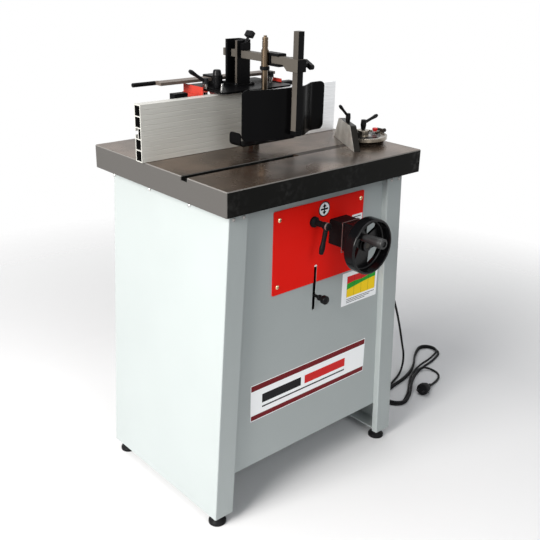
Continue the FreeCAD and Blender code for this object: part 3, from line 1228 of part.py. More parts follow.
def make_rod_clamp():
    """Strap round the arm, open at its left front, with the rod's sleeve and a locking ring under it."""
    low = ARM_Z - ROD_CLAMP_HEIGHT / 2
    half = END_BLOCK_HALF
    block = box(-half, half, ROD_CLAMP_FRONT, ROD_CLAMP_BACK, low, low + ROD_CLAMP_HEIGHT)
    block = block.makeFillet(3, edges_along(block, Y))
    aside = SLEEVE_RADIUS - 2
    lug = box(ROD_X, -half + 3.5, ROD_Y - aside, ROD_Y + aside, low + 5, low + ROD_CLAMP_HEIGHT - 5)
    spot = Vector(ROD_X, ROD_Y, 0)
    sleeve = rod(spot + Z * SLEEVE_BOTTOM, Z, SLEEVE_RADIUS, SLEEVE_TOP - SLEEVE_BOTTOM)
    ring = turned([(0, 0), (RING_RADIUS, 0, 2), (RING_RADIUS, RING_HEIGHT, 2), (0, RING_HEIGHT)],
                  spot + Z * (SLEEVE_BOTTOM + 1 - RING_HEIGHT), Z)
    bore = rod(spot + Z * SHOE_BOTTOM, Z, ROD_RADIUS + RUN_GAP, ROD_TOP - SHOE_BOTTOM)
    tunnel = arm_tunnel(ROD_CLAMP_FRONT - 1, ROD_CLAMP_BACK + 1, 0)
    window = box(-half - 1, 0, ROD_CLAMP_FRONT - 1, ROD_Y - SLEEVE_RADIUS - 3, ARM_Z - ARM_HALF, ARM_TOP)
    return fused([block, lug, sleeve, ring]).cut([bore, tunnel, window])


def make_hold_down_rod():
    foot = SHOE_BOTTOM + SHOE_SHEET
    length = ROD_TOP - foot
    groove = 1.0
    profile = [(0, 0), (ROD_RADIUS, 0)]
    for z in (SLEEVE_TOP + 4 - foot, ROD_TOP - 8 - foot):
        profile += [(ROD_RADIUS, z), (ROD_RADIUS - groove, z), (ROD_RADIUS - groove, z + 1.5),
                    (ROD_RADIUS, z + 1.5)]
    profile += [(ROD_RADIUS, length, 1.5), (4, length), (4, length + 4, 1), (0, length + 4)]
    return turned(profile, Vector(ROD_X, ROD_Y, foot), Z)


def make_hold_down_shoe():
    """Strip turned up at both ends, with the rod's socket on it."""
    left = ROD_X - SHOE_HALF
    right = ROD_X + SHOE_HALF
    rise = SHOE_BOTTOM + SHOE_UPTURN
    line = [(left, rise, 0), (left, SHOE_BOTTOM, SHOE_BEND), (right, SHOE_BOTTOM, SHOE_BEND),
            (right, rise, 0)]
    ski = prism(strip(line, SHOE_SHEET), on_xz(ROD_Y - SHOE_WIDTH / 2), Y * SHOE_WIDTH)
    ski = ski.makeFillet(SHOE_CORNER, [e for e in edges_along(ski, X) if e.BoundBox.ZMin > rise - 0.1])
    top = Vector(ROD_X, ROD_Y, SHOE_BOTTOM + SHOE_SHEET)
    boss = tube(top, Z, SHOE_BOSS, ROD_RADIUS, SHOE_BOSS_HEIGHT)
    return fused([ski, boss])


# Mitre gauge

def gauge_turn(shape):
    """Turns a piece of the gauge's head from square to its setting, about the pivot."""
    copy = shape.copy()
    copy.translate(Vector(GAUGE_PIVOT_X, MITRE_Y, 0))
    copy.rotate(Vector(GAUGE_PIVOT_X, MITRE_Y, 0), Z, GAUGE_TURN)
    return copy


def make_gauge_bar():
    half = MITRE_WIDTH / 2 - SLIDE_GAP / 2
    bottom = TABLE_HEIGHT - MITRE_DEPTH + SLIDE_GAP
    bar = box(GAUGE_LEFT, GAUGE_RIGHT, MITRE_Y - half, MITRE_Y + half, bottom, TABLE_HEIGHT - SLIDE_GAP)
    low = TABLE_HEIGHT - 1
    high = HEAD_BOTTOM + GAUGE_BASE_THICK
    end = GAUGE_PIVOT_X + GAUGE_BASE_BACK
    base = box(GAUGE_PIVOT_X - GAUGE_HUB, end, MITRE_Y - half + 2, MITRE_Y + half - 2, low, high)
    stop = box(end - 7, end, MITRE_Y - GAUGE_BASE_HALF, MITRE_Y + GAUGE_BASE_HALF, HEAD_BOTTOM,
               high + GAUGE_STOP)
    index = turned([(0, 0), (3, 0), (3, 3), (5, 4, 1), (5, 11, 2), (0, 11)],
                   Vector(end - 1, MITRE_Y - 6, high + GAUGE_STOP - 5), X)
    pivot = rod(Vector(GAUGE_PIVOT_X, MITRE_Y, low), Z, 6, GAUGE_HUB_TOP - low - 2)
    bore = rod(Vector(GAUGE_PIVOT_X, MITRE_Y, GAUGE_HUB_TOP - 14), Z, 4 + RUN_GAP, 20)
    return fused([bar, base, stop, index, pivot]).cut(bore)


def make_gauge_head():
    back = -HEAD_FACE + HEAD_THICK
    corners = [(-HEAD_NEAR, HEAD_BOTTOM, 0), (HEAD_FAR, HEAD_BOTTOM, 0), (HEAD_FAR - HEAD_SLANT, HEAD_TOP, 3),
               (-HEAD_NEAR + HEAD_NEAR_SLANT, HEAD_TOP, 10)]
    wall = prism(corners, on_yz(-HEAD_FACE), X * HEAD_THICK)
    low = HEAD_BOTTOM + GAUGE_BASE_THICK + PROTRACTOR_THICK + SLIDE_GAP
    end = -GAUGE_HUB - 1
    neck = prism([(back - 1, low, 0), (end, low, 0), (end, low + 10, 0), (back - 1, low + 22, 0)],
                 on_xz(-26), Y * 52)
    bore = rod(Vector(-HEAD_FACE + HEAD_THICK / 2, FACE_LEVER_ALONG, HEAD_TOP - 14), Z, 4 + RUN_GAP, 20)
    return gauge_turn(fused([wall, neck]).cut(bore))


def make_gauge_protractor():
    low = HEAD_BOTTOM + GAUGE_BASE_THICK + SLIDE_GAP
    high = low + PROTRACTOR_THICK
    inner = PROTRACTOR_RADIUS - PROTRACTOR_RIM
    bore = 6 + RUN_GAP
    profile = [(bore, low), (PROTRACTOR_RADIUS, low, 1), (PROTRACTOR_RADIUS, high + PROTRACTOR_LIP, 1),
               (inner, high + PROTRACTOR_LIP), (inner, high), (GAUGE_HUB, high),
               (GAUGE_HUB, GAUGE_HUB_TOP - 2, 1), (bore, GAUGE_HUB_TOP - 2)]
    disc = turned(profile, Vector(0, 0, 0), Z)
    limit = HEAD_FACE - HEAD_THICK
    reach = PROTRACTOR_RADIUS + 1
    keep = box(-limit, reach, -reach, reach, low - 1, GAUGE_HUB_TOP)
    trimmed = box(-limit, -GAUGE_HUB - 1, -reach, reach, high, GAUGE_HUB_TOP)
    slots = []
    for side in (-1, 1):
        slots.append(prism(rectangle(-14, 30, side * 36 - 6, side * 36 + 6, 5.9), on_xy(low - 1), Z * 20))
    return gauge_turn(disc.common(keep).cut([trimmed] + slots))


def make_face_lever():
    lever = clamp_lever(46.0, 43.0, hub=6.5, hub_height=22.0, stem=4.0, stem_length=12.0)
    lever = placed(lever, lever_place(Vector(0, 0, 0), Z, Vector(-0.87, -0.5, 0)))
    lever.translate(Vector(-HEAD_FACE + HEAD_THICK / 2, FACE_LEVER_ALONG, HEAD_TOP + SLIDE_GAP))
    return gauge_turn(lever)


def make_pivot_lever():
    base = Vector(GAUGE_PIVOT_X, MITRE_Y, GAUGE_HUB_TOP + SLIDE_GAP)
    lever = clamp_lever(54.0, 16.0, hub=7.5, hub_height=24.0, stem=4.0, stem_length=12.0)
    return placed(lever, lever_place(base, Z, X))


# Switch on the right panel

def make_switch_box():
    half_w = SWITCH_WIDTH / 2
    half_h = SWITCH_HEIGHT / 2
    case = prism(rectangle(-half_w, half_w, -half_h, half_h, 8), on_xy(0), Z * SWITCH_DEPTH)
    case = case.makeFillet(3, [e for e in case.Edges if e.BoundBox.ZMin > SWITCH_DEPTH - 0.01])
    wells = [rod(Vector(0, side * BUTTON_SPACING / 2, SWITCH_DEPTH - BUTTON_IN), Z, BUTTON_RADIUS + SLIDE_GAP,
                 BUTTON_IN + 1) for side in (-1, 1)]
    return placed(case.cut(wells), right_panel_frame(SWITCH_Y, SWITCH_Z))


def make_button(side):
    base = Vector(0, side * BUTTON_SPACING / 2, SWITCH_DEPTH - BUTTON_IN + BUTTON_OUT)
    cap = turned([(0, 0), (BUTTON_RADIUS, 0), (BUTTON_RADIUS, BUTTON_IN, 2), (0, BUTTON_IN)], base, Z)
    return placed(cap, right_panel_frame(SWITCH_Y, SWITCH_Z))


# Mains cord

def make_gland():
    neck = GLAND_RADIUS * 0.8
    profile = [(0, 0), (GLAND_RADIUS, 0), (GLAND_RADIUS, 5, 1), (neck, 5), (neck, 16, 2),
               (CORD_RADIUS + 2, GLAND_LENGTH, 1), (0, GLAND_LENGTH)]
    return placed(turned(profile, Vector(0, 0, 0), Z), right_panel_frame(GLAND_Y, GLAND_Z))


def arc_path(points, name):
    """Edges of straight runs joined by tangent arcs, each as large as its two runs allow."""
    edges = []
    radii = []
    last = points[0]
    for i in range(1, len(points) - 1):
        back = points[i - 1] - points[i]
        ahead = points[i + 1] - points[i]
        reach = 0.45 * min(back.Length, ahead.Length)
        back.normalize()
        ahead.normalize()
        half = back.getAngle(ahead) / 2
        radius = reach * math.tan(half)
        radii.append(radius)
        start = points[i] + back * reach
        end = points[i] + ahead * reach
        middle = points[i] + (back + ahead).normalize() * (radius / math.sin(half) - radius)
        edges.append(Part.LineSegment(last, start).toShape())
        edges.append(Part.Arc(start, middle, end).toShape())
        last = end
    edges.append(Part.LineSegment(last, points[-1]).toShape())
    print(name, "bend radii", [round(r) for r in radii])
    return edges


def cord_tube(edges, name):
    """Round tube along connected edges, with its volume compared with section times length."""
    wire = Part.Wire(edges)
    start = edges[0].valueAt(edges[0].FirstParameter)
    heading = edges[0].tangentAt(edges[0].FirstParameter)
    ring = Part.Wire([Part.makeCircle(CORD_RADIUS, start, heading)])
    sweep = Part.BRepOffsetAPI.MakePipeShell(wire)
    sweep.add(ring)
    sweep.build()
    sweep.makeSolid()
    solid = sweep.shape()
    share = solid.Volume / (math.pi * CORD_RADIUS ** 2 * wire.Length)
    print(name, "length", round(wire.Length, 1), "volume share", round(share, 5))
    return solid


def hank_point(along, across, height):
    turn = math.radians(HANK_TURN)
    return Vector(HANK_X + along * math.cos(turn) - across * math.sin(turn),
                  HANK_Y + along * math.sin(turn) + across * math.cos(turn), height)


def s_bend(start, end):
    """Two equal arcs from start to end, both ends running along the hank."""
    ahead = hank_point(1, 0, 0) - hank_point(0, 0, 0)
    if (end - start).dot(ahead) < 0:
        ahead = -ahead
    middle = (start + end) / 2
    edges = []
    for first, last, heading in ((start, middle, ahead), (end, middle, -ahead)):
        chord = last - first
        lean = chord.getAngle(heading)
        aside = (chord - heading * chord.dot(heading)).normalize()
        radius = chord.Length / (2 * math.sin(lean))
        bulge = first + heading * (radius * math.sin(lean)) + aside * (radius * (1 - math.cos(lean)))
        edges.append((first, bulge, last))
    second = edges[1]
    return [Part.Arc(*edges[0]).toShape(), Part.Arc(second[2], second[1], second[0]).toShape()]


def hank_offset(run):
    """Sideways place of a run at the hank's ends: inwards to the reversal, then outwards again."""
    return HANK_INNER + abs(HANK_MIDDLE - run) * HANK_STEP


def hank_edges():
    """Loops of the hank: runs drawn in at the waist, joined by half turns, in two layers."""
    draw = HANK_INNER - HANK_WAIST
    edges = []
    first = hank_offset(0)
    edges.append(Part.LineSegment(hank_point(-HANK_HALF + 2 * CORD_RADIUS, first, CORD_REST),
                                  hank_point(-HANK_HALF, first, CORD_REST)).toShape())
    for run in range(1, HANK_RUNS + 1):
        side = 1 if run % 2 == 0 else -1
        low = CORD_REST if run <= HANK_MIDDLE else CORD_REST + HANK_LAYER
        high = CORD_REST if run < HANK_MIDDLE else CORD_REST + HANK_LAYER
        end = -side * HANK_HALF
        begin = side * HANK_HALF
        before = -side * hank_offset(run - 1)
        now = side * hank_offset(run)
        middle = (before + now) / 2
        tip = side * abs(now - before) / 2
        bend = []
        for i in range(5):
            angle = math.pi * i / 4
            bend.append(hank_point(begin + tip * math.sin(angle), middle - tip * math.cos(angle), low))
        edges.append(Part.Arc(*bend[:3]).toShape())
        edges.append(Part.Arc(*bend[2:]).toShape())
        waist = side * (hank_offset(run) - draw)
        edges += s_bend(hank_point(begin, now, low), hank_point(0, waist, high))
        if run < HANK_RUNS:
            edges += s_bend(hank_point(0, waist, high), hank_point(end, now, high))
    return edges


def least_gap(edges, skip):
    """Least distance between stretches of a cord's own surface, from points along its line."""
    step = CORD_RADIUS
    points = []
    travelled = 0.0
    for edge in edges:
        count = max(2, int(edge.Length / step))
        for point in edge.discretize(count)[:-1]:
            points.append((travelled, point))
            travelled += edge.Length / (count - 1)
    least = None
    for i, (here, a) in enumerate(points):
        for there, b in points[i + 1:]:
            if there - here > skip:
                gap = (a - b).Length
                least = gap if least is None else min(least, gap)
    return least - 2 * CORD_RADIUS


def make_mains_cord():
    frame = right_panel_frame(GLAND_Y, GLAND_Z)
    start = frame.multVec(Vector(0, 0, GLAND_LENGTH))
    end = hank_point(-HANK_HALF + 2 * CORD_RADIUS, hank_offset(0), CORD_REST)
    points = [start] + [Vector(*p) for p in CORD_ROUTE] + [end]
    return cord_tube(arc_path(points, "mains cord"), "mains cord")


def lead_points():
    last = hank_edges()[-1]
    return [last.valueAt(last.LastParameter)] + [hank_point(*p) for p in LEAD_ROUTE]


def make_cord_hank():
    edges = hank_edges() + arc_path(lead_points(), "plug lead")
    print("cord hank least gap", round(least_gap(edges, 12 * CORD_RADIUS), 2))
    return cord_tube(edges, "cord hank")


def make_mains_plug():
    """Round two-pin plug at the end of the lead, lying on its rim."""
    points = lead_points()
    heading = points[-1] - points[-2]
    heading.z = 0
    heading.normalize()
    axis = heading * math.cos(math.radians(PLUG_TILT)) + Z * math.sin(math.radians(PLUG_TILT))
    front = PLUG_RELIEF + PLUG_BODY
    body = turned([(0, 0), (CORD_RADIUS + 1.5, 0, 1), (CORD_RADIUS + 3.5, PLUG_RELIEF * 0.8, 3),
                   (PLUG_RADIUS * 0.75, PLUG_RELIEF + 6, 6), (PLUG_RADIUS, front - 16, 4),
                   (PLUG_RADIUS, front, 2), (0, front)], points[-1], axis)
    side = axis.cross(Z).normalize()
    pins = [rod(points[-1] + axis * (front - 1) + side * s * PLUG_PIN_HALF, axis, PLUG_PIN, PLUG_PIN_LENGTH)
            for s in (-1, 1)]
    plug = fused([body] + pins)
    plug.translate(Z * max(0.0, 0.1 - plug.BoundBox.ZMin))
    return plug


def mirrored(shape):
    return shape.mirror(Vector(0, 0, 0), X)


CORD_NODES = ("cord_gland", "mains_cord", "cord_hank", "mains_plug")


def build():
    left = make_side_panel()
    return {
        "table": make_table(),
        "insert_rings": make_insert_rings(),
        "side_panel_left": left,
        "side_panel_right": mirrored(left),
        "front_panel": make_front_panel(),
        "control_plate": make_control_plate(),
        "rear_panel": make_rear_panel(),
        "rear_door": make_rear_door(),
        "floor_shelf": make_floor_shelf(),
        "levelling_feet": make_feet(),
        "bearing_block": make_bearing_block(),
        "position_indicator": make_position_indicator(),
        "handwheel": make_handwheel(),
        "handwheel_shaft": make_handwheel_shaft(),
        "handwheel_grip": make_handwheel_grip(),
        "height_lock_lever": make_height_lock_lever(),
        "lift_gearbox": make_lift_gearbox(),
        "lift_guides": make_lift_guides(),
        "lift_screw": make_lift_screw(),
        "carriage": make_carriage(),
        "spindle_bearings": make_spindle_bearings(),
        "spindle": make_spindle(),
        "arbor_rings": make_arbor_rings(),
        "spindle_pulley": pulley(TAIL_RADIUS, SPINDLE_PULLEY, 0, SPINDLE_Y),
        "motor": make_motor(),
        "motor_pulley": make_motor_pulley(),
        "drive_belt": make_drive_belt(),
        "spindle_lock": make_spindle_lock(),
        "fence_base": make_fence_base(),
        "hood": make_hood(),
        "cover_plate": make_cover_plate(),
        "fence_board_left": make_fence_board(FENCE_LEFT_END, FENCE_LEFT_LENGTH),
        "fence_board_right": make_fence_board(FENCE_RIGHT_END - FENCE_RIGHT_LENGTH, FENCE_RIGHT_LENGTH),
        "fence_carrier_left": make_fence_carrier(CARRIER_LEFT),
        "fence_carrier_right": make_fence_carrier(CARRIER_RIGHT),
        "clamp_lever_left": make_fence_clamp(-CLAMP_X, -X),
        "clamp_lever_right": make_fence_clamp(CLAMP_X, Vector(-0.9, -0.44, 0)),
        "cover_knob": make_cover_knob(),
        "side_arm": make_side_arm(),
        "guard_column": make_guard_column(),
        "arm_screw": make_arm_screw(),
        "guard_arm": make_guard_arm(),
        "guard_post": make_guard_post(),
        "post_knob": make_post_knob(),
        "guard": make_guard(),
        "rod_clamp": make_rod_clamp(),
        "hold_down_rod": make_hold_down_rod(),
        "hold_down_shoe": make_hold_down_shoe(),
        "gauge_bar": make_gauge_bar(),
        "gauge_head": make_gauge_head(),
        "gauge_protractor": make_gauge_protractor(),
        "gauge_face_lever": make_face_lever(),
        "gauge_pivot_lever": make_pivot_lever(),
        "switch_box": make_switch_box(),
        "start_button": make_button(1),
        "stop_button": make_button(-1),
        "cord_gland": make_gland(),
        "mains_cord": make_mains_cord(),
        "cord_hank": make_cord_hank(),
        "mains_plug": make_mains_plug(),
    }


def base_centre(parts):
    """Middle of the machine's footprint, without its cord, on the floor."""
    whole = FreeCAD.BoundBox()
    for name, shape in parts.items():
        if name not in CORD_NODES:
            whole.add(shape.optimalBoundingBox())
    return Vector((whole.XMin + whole.XMax) / 2, (whole.YMin + whole.YMax) / 2, whole.ZMin)


PARTS = build()
ORIGIN = base_centre(PARTS)
os.makedirs("parts", exist_ok=True)
for node, solid in PARTS.items():
    solid.translate(-ORIGIN)
    solid.exportStep("parts/" + node + ".step")
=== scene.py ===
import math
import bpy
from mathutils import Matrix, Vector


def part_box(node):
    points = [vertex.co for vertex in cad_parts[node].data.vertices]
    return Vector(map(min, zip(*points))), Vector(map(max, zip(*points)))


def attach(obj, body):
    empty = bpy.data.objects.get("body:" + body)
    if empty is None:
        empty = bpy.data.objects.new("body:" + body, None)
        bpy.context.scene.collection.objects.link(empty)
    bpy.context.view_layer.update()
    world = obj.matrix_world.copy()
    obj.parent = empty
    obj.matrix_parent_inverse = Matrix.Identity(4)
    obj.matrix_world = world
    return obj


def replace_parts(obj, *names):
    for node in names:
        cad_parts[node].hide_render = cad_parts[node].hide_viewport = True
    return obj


bl_info = {
    "name": "Spindle Moulder Looks",
    "version": (1, 0, 0),
    "blender": (4, 5, 0),
    "location": "View3D > Sidebar > Moulder",
    "description": "Finishes, small pieces, mains cord and studio of a spindle moulder",
    "category": "Object",
}

import bmesh
import bpy
from mathutils import Matrix, Vector

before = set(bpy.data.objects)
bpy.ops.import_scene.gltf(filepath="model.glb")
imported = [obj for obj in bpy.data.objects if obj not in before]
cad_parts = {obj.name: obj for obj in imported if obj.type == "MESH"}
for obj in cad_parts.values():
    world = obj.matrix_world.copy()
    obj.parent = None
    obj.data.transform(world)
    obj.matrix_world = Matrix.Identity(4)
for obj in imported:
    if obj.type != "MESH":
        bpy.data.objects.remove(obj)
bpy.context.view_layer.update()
LOW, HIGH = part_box("table")
TABLE_CENTRE = (LOW + HIGH) / 2
X = Vector((1, 0, 0))
Y = Vector((0, 1, 0))
Z = Vector((0, 0, 1))
MM = 0.001

# Places in millimetres, counted from the table's centre on the floor
PANEL_FACE = -213.0
PLATE_FACE = -215.0
PLATE_SCREWS = ((-123, 751), (-125, 588), (145, 754), (149, 593))
TABLE_LEFT = -308.0
GAUGE_PIVOT = (253, -113, 0)
ROD_AXIS = (-18.5, -36, 0)
POST_FRONT = -137.2
ARM_END = -141.2
COLUMN_LEFT = -21.7
COLUMN_MIDDLE = 70.0
GRIP_RIGHT = -211.2
FENCE_SKIN = (36.5, 59.3)
GROOVE_FACE = 47.0

# Heights in metres at which a finish changes
TABLE_TOP = 0.8598
TABLE_ARRIS = 0.8578
FENCE_CELLS = (0.8615, 0.9898)
FENCE_GROOVE = (0.9142, 0.9370)
POST_FOOT = 0.9235
POST_SIDE_DARKENING = (0.99, 1.05)
SLEEVE_FOOT = 1.0603
COLUMN_FOOT = 1.008
LEVER_HUB = 1.0125
FOOT_PAD = 0.0143
SCALE_TOP = 0.8790
# Heights between which a painted reflection brightens the gauge head's face
HEAD_SHEEN = (0.905, 0.868)

# Radii and depths in metres at which a finish changes
SLEEVE_RADIUS = 0.0094
# Radii of the protractor's hollow, darkened as painted shade
SCALE_HOLLOW_SHADE = (0.021, 0.046)
SCALE_TICKS = 0.0555
HEAD_FACE = -0.0551
GAUGE_TURN = math.radians(-30)


def at(x, y, z):
    """Point in the row frame from millimetres counted from the table's centre on the floor."""
    return Vector((TABLE_CENTRE.x + x / 1000, TABLE_CENTRE.y + y / 1000, z / 1000))


class Settings(bpy.types.PropertyGroup):
    """Colours, wear and light of the machine."""

    cabinet: bpy.props.FloatVectorProperty(
        name="Cabinet", description="Paint of the panels, shelf and door", subtype="COLOR",
        default=(0.37, 0.402, 0.40))
    plate: bpy.props.FloatVectorProperty(
        name="Control plate", description="Paint of the plate behind the handwheel", subtype="COLOR",
        default=(0.79, 0.0095, 0.0045))
    hood: bpy.props.FloatVectorProperty(
        name="Hood", description="Paint of the extraction hood", subtype="COLOR",
        default=(0.39, 0.032, 0.020))
    black: bpy.props.FloatVectorProperty(
        name="Black paint", description="Paint of the guard, cover and fence carriers", subtype="COLOR",
        default=(0.0028, 0.0028, 0.0031))
    wear: bpy.props.FloatProperty(
        name="Wear", description="Depth of the grinding marks on the table", subtype="FACTOR",
        default=0.5, min=0.0, max=1.0)
    screw_radius: bpy.props.FloatProperty(
        name="Screw head", description="Radius of the control plate's screw heads", unit="LENGTH",
        default=0.0052, min=0.002, max=0.008)
    label_depth: bpy.props.FloatProperty(
        name="Label thickness", description="Thickness of the labels on the front", unit="LENGTH",
        default=0.00015, min=0.00005, max=0.0005)
    key: bpy.props.FloatProperty(
        name="Key light", description="Power of the large lamp on the left", unit="POWER",
        default=176.0, min=0.0)
    fill: bpy.props.FloatProperty(
        name="Fill light", description="Power of the front and top lamps", unit="POWER",
        default=30.0, min=0.0)
    floor: bpy.props.FloatProperty(
        name="Floor shade", description="Paleness of the floor", subtype="FACTOR",
        default=0.72, min=0.0, max=1.0)


# Shader building

class Socket:
    """Output of a shader node, with sums and products that add maths nodes."""

    def __init__(self, recipe, output):
        self.recipe = recipe
        self.output = output

    def maths(self, operation, *others):
        """This value and others through one maths node."""
        return self.recipe.node("ShaderNodeMath", [self, *others], operation=operation)

    def __add__(self, other):
        return self.maths("ADD", other)

    def __sub__(self, other):
        return self.maths("SUBTRACT", other)

    def __rsub__(self, other):
        return self.recipe.node("ShaderNodeMath", [other, self], operation="SUBTRACT")

    def __mul__(self, other):
        return self.maths("MULTIPLY", other)

    __radd__ = __add__
    __rmul__ = __mul__

    def __truediv__(self, other):
        return self.maths("DIVIDE", other)

    def over(self, limit):
        """1 where this value is above a limit, else 0."""
        return self.maths("GREATER_THAN", limit)

    def under(self, limit):
        """1 where this value is below a limit, else 0."""
        return self.maths("LESS_THAN", limit)

    def ramp(self, low, high, start=0.0, end=1.0):
        """This value mapped from low..high to start..end, clamped."""
        return self.recipe.node("ShaderNodeMapRange", [self, low, high, start, end], clamp=True)


class Recipe:
    """Node tree of a material, or of the world given as its owner."""

    def __init__(self, name, owner=None):
        self.owner = owner or bpy.data.materials.new(name)
        self.owner.use_nodes = True
        self.tree = self.owner.node_tree
        self.tree.nodes.clear()

    def node(self, kind, inputs=(), output=0, **settings):
        """Adds a node, sets its properties and inputs, and returns one of its outputs."""
        made = self.tree.nodes.new(kind)
        for key, value in settings.items():
            setattr(made, key, value)
        pairs = inputs.items() if isinstance(inputs, dict) else enumerate(inputs)
        for key, value in pairs:
            if isinstance(value, Socket):
                self.tree.links.new(value.output, made.inputs[key])
            elif value is not None:
                made.inputs[key].default_value = value
        return Socket(self, made.outputs[output]) if made.outputs else None

    def place(self):
        """Object coordinates as one vector."""
        return self.node("ShaderNodeTexCoord", output="Object")

    def parts(self, vector):
        """X, Y and Z of a vector as three sockets."""
        split = self.node("ShaderNodeSeparateXYZ", [vector]).output.node
        return [Socket(self, output) for output in split.outputs]

    def axes(self):
        """Object coordinates as three sockets."""
        return self.parts(self.place())

    def stretched(self, x, y, z):
        """Object coordinates scaled along each axis."""
        return self.node("ShaderNodeMapping", {"Vector": self.place(), "Scale": (x, y, z)})

    def noise(self, scale, detail=3.0, vector=None):
        """Cloudy pattern on object coordinates, or on a vector of its own."""
        inputs = {"Vector": vector or self.place(), "Scale": scale, "Detail": detail}
        return self.node("ShaderNodeTexNoise", inputs)

    def mix(self, factor, first, second):
        """Blend of two colours."""
        inputs = {0: factor, 6: first, 7: second}
        return self.node("ShaderNodeMix", inputs, output=2, data_type="RGBA")

    def bump(self, height, strength, distance):
        """Normal of a surface raised by a height."""
        inputs = {"Height": height, "Strength": strength, "Distance": distance}
        return self.node("ShaderNodeBump", inputs)

    def finish(self, **inputs):
        """Ends the tree with a principled shader whose inputs are named with underscores for spaces."""
        named = {key.replace("_", " "): value for key, value in inputs.items()}
        shader = self.node("ShaderNodeBsdfPrincipled", named)
        self.node("ShaderNodeOutputMaterial", [shader])
        return self.owner


def rgb(colour):
    """Colour with its alpha."""
    return (colour[0], colour[1], colour[2], 1.0)


def paint(name, colour, rough, shine, peel=0.04, dust=0.06):
    """Sprayed paint: a fine peel, faint dust and uneven gloss."""
    r = Recipe(name)
    cloud = r.noise(5.0, 4.0)
    base = rgb(colour)
    if dust:
        dusty = [min(1.0, c * 1.06 + 0.02) for c in colour]
        base = r.mix(cloud.ramp(0.35, 0.75, 0.0, dust * 6), base, rgb(dusty))
    gloss = cloud.ramp(0.3, 0.8, rough - 0.05, rough + 0.08)
    return r.finish(Base_Color=base, Roughness=gloss, Specular_IOR_Level=shine,
                    Normal=r.bump(r.noise(900.0, 1.0), peel, 0.0004))


def plain(name, colour, rough, metallic=0.0, shine=0.3):
    """Even finish with a little unevenness in its gloss."""
    r = Recipe(name)
    gloss = r.noise(40.0, 2.0).ramp(0.3, 0.7, rough - 0.06, rough + 0.06)
    return r.finish(Base_Color=rgb(colour), Roughness=gloss, Metallic=metallic, Specular_IOR_Level=shine)


def brushed(name, colour, rough, grain, metallic=1.0, stain=0.25, shine=0.5):
    """Drawn or machined metal with its grain along one axis, counted from 0 for X."""
    r = Recipe(name)
    scale = [1400.0 if i != grain else 14.0 for i in range(3)]
    lines = r.noise(1.0, 2.0, r.stretched(*scale))
    patches = r.noise(9.0, 4.0)
    dark = [c * (1.0 - stain) for c in colour]
    base = r.mix(patches.ramp(0.35, 0.75), rgb(colour), rgb(dark))
    gloss = lines.ramp(0.2, 0.8, rough - 0.07, rough + 0.1)
    return r.finish(Base_Color=base, Roughness=gloss, Metallic=metallic, Specular_IOR_Level=shine,
                    Normal=r.bump(lines, 0.06, 0.0002))


def table_iron(name, wear):
    """Ground cast table: streaky brown top, dark scuffed sides, a left side made paler as painted light, and
    a lighter band along the top of the sides.
    """
    r = Recipe(name)
    along, _, height = r.axes()
    top = height.over(TABLE_TOP)
    edge = height.over(TABLE_ARRIS)
    streaks = r.noise(1.0, 3.0, r.stretched(7.0, 180.0, 40.0))
    patches = r.noise(6.0, 6.0)
    smears = r.noise(1.0, 5.0, r.stretched(8.0, 10.0, 9.0))
    fine = r.noise(380.0, 2.0)
    ground = r.mix(patches.ramp(0.36, 0.66), rgb((0.205, 0.142, 0.102)), rgb((0.074, 0.056, 0.043)))
    ground = r.mix(streaks.ramp(0.35, 0.8, 0.0, 0.16), ground, rgb((0.175, 0.138, 0.108)))
    ground = r.mix(smears.ramp(0.48, 0.68, 0.0, 0.62), ground, rgb((0.040, 0.033, 0.026)))
    specks = r.noise(90.0, 6.0).ramp(0.46, 0.76) * r.noise(9.0, 4.0).ramp(0.48, 0.72)
    specks = specks * along.ramp(at(20, 0, 0).x, at(280, 0, 0).x, 0.3, 1.0)
    side = r.mix(specks, rgb((0.0055, 0.0055, 0.005)), rgb((0.085, 0.084, 0.082)))
    # Painted light: the left side, which faces the key lamp, is paler than the other sides.
    side = r.mix(along.under(at(TABLE_LEFT, 0, 0).x), side, rgb((0.088, 0.084, 0.080)))
    side = r.mix(edge * 0.7, side, rgb((0.20, 0.19, 0.18)))
    base = r.mix(top, side, ground)
    gloss = top * patches.ramp(0.2, 0.8, 0.20, 0.34) + (1 - top) * fine.ramp(0.3, 0.7, 0.44, 0.56)
    grain = r.bump(streaks * top * 0.5 + fine * 0.8, 0.05 * wear, 0.0006)
    return r.finish(Base_Color=base, Roughness=gloss, Metallic=top * 0.7 + 0.15,
                    Specular_IOR_Level=0.05, Normal=grain)


def fence_metal(name, tone, metallic):
    """Pale anodised extrusion with a fine grain along its length and painted shade inside its hollow cells.
    """
    r = Recipe(name)
    lines = r.noise(1.0, 2.0, r.stretched(6.0, 700.0, 700.0))
    _, across, height = r.axes()
    dark = [c * 0.86 for c in tone]
    base = r.mix(lines.ramp(0.3, 0.7, 0.0, 0.7), rgb(tone), rgb(dark))
    front, back = [at(0, y, 0).y for y in FENCE_SKIN]
    cut_end = r.parts(r.node("ShaderNodeTexCoord", output="Normal"))[0].maths("ABSOLUTE").over(0.5)
    # Painted shade: the inside walls of the hollow cells are near black, except in the groove and on the cut
    # ends.
    cell_shade = across.over(front) * across.under(back) * (1 - cut_end)
    cell_shade = cell_shade * height.over(FENCE_CELLS[0]) * height.under(FENCE_CELLS[1])
    groove = height.over(FENCE_GROOVE[0]) * height.under(FENCE_GROOVE[1])
    groove = groove * across.over(at(0, GROOVE_FACE, 0).y)
    base = r.mix(cell_shade * (1 - groove), base, rgb((0.012, 0.012, 0.012)))
    return r.finish(Base_Color=base, Roughness=lines.ramp(0.2, 0.8, 0.36, 0.5), Metallic=metallic,
                    Normal=r.bump(lines, 0.05, 0.0002))


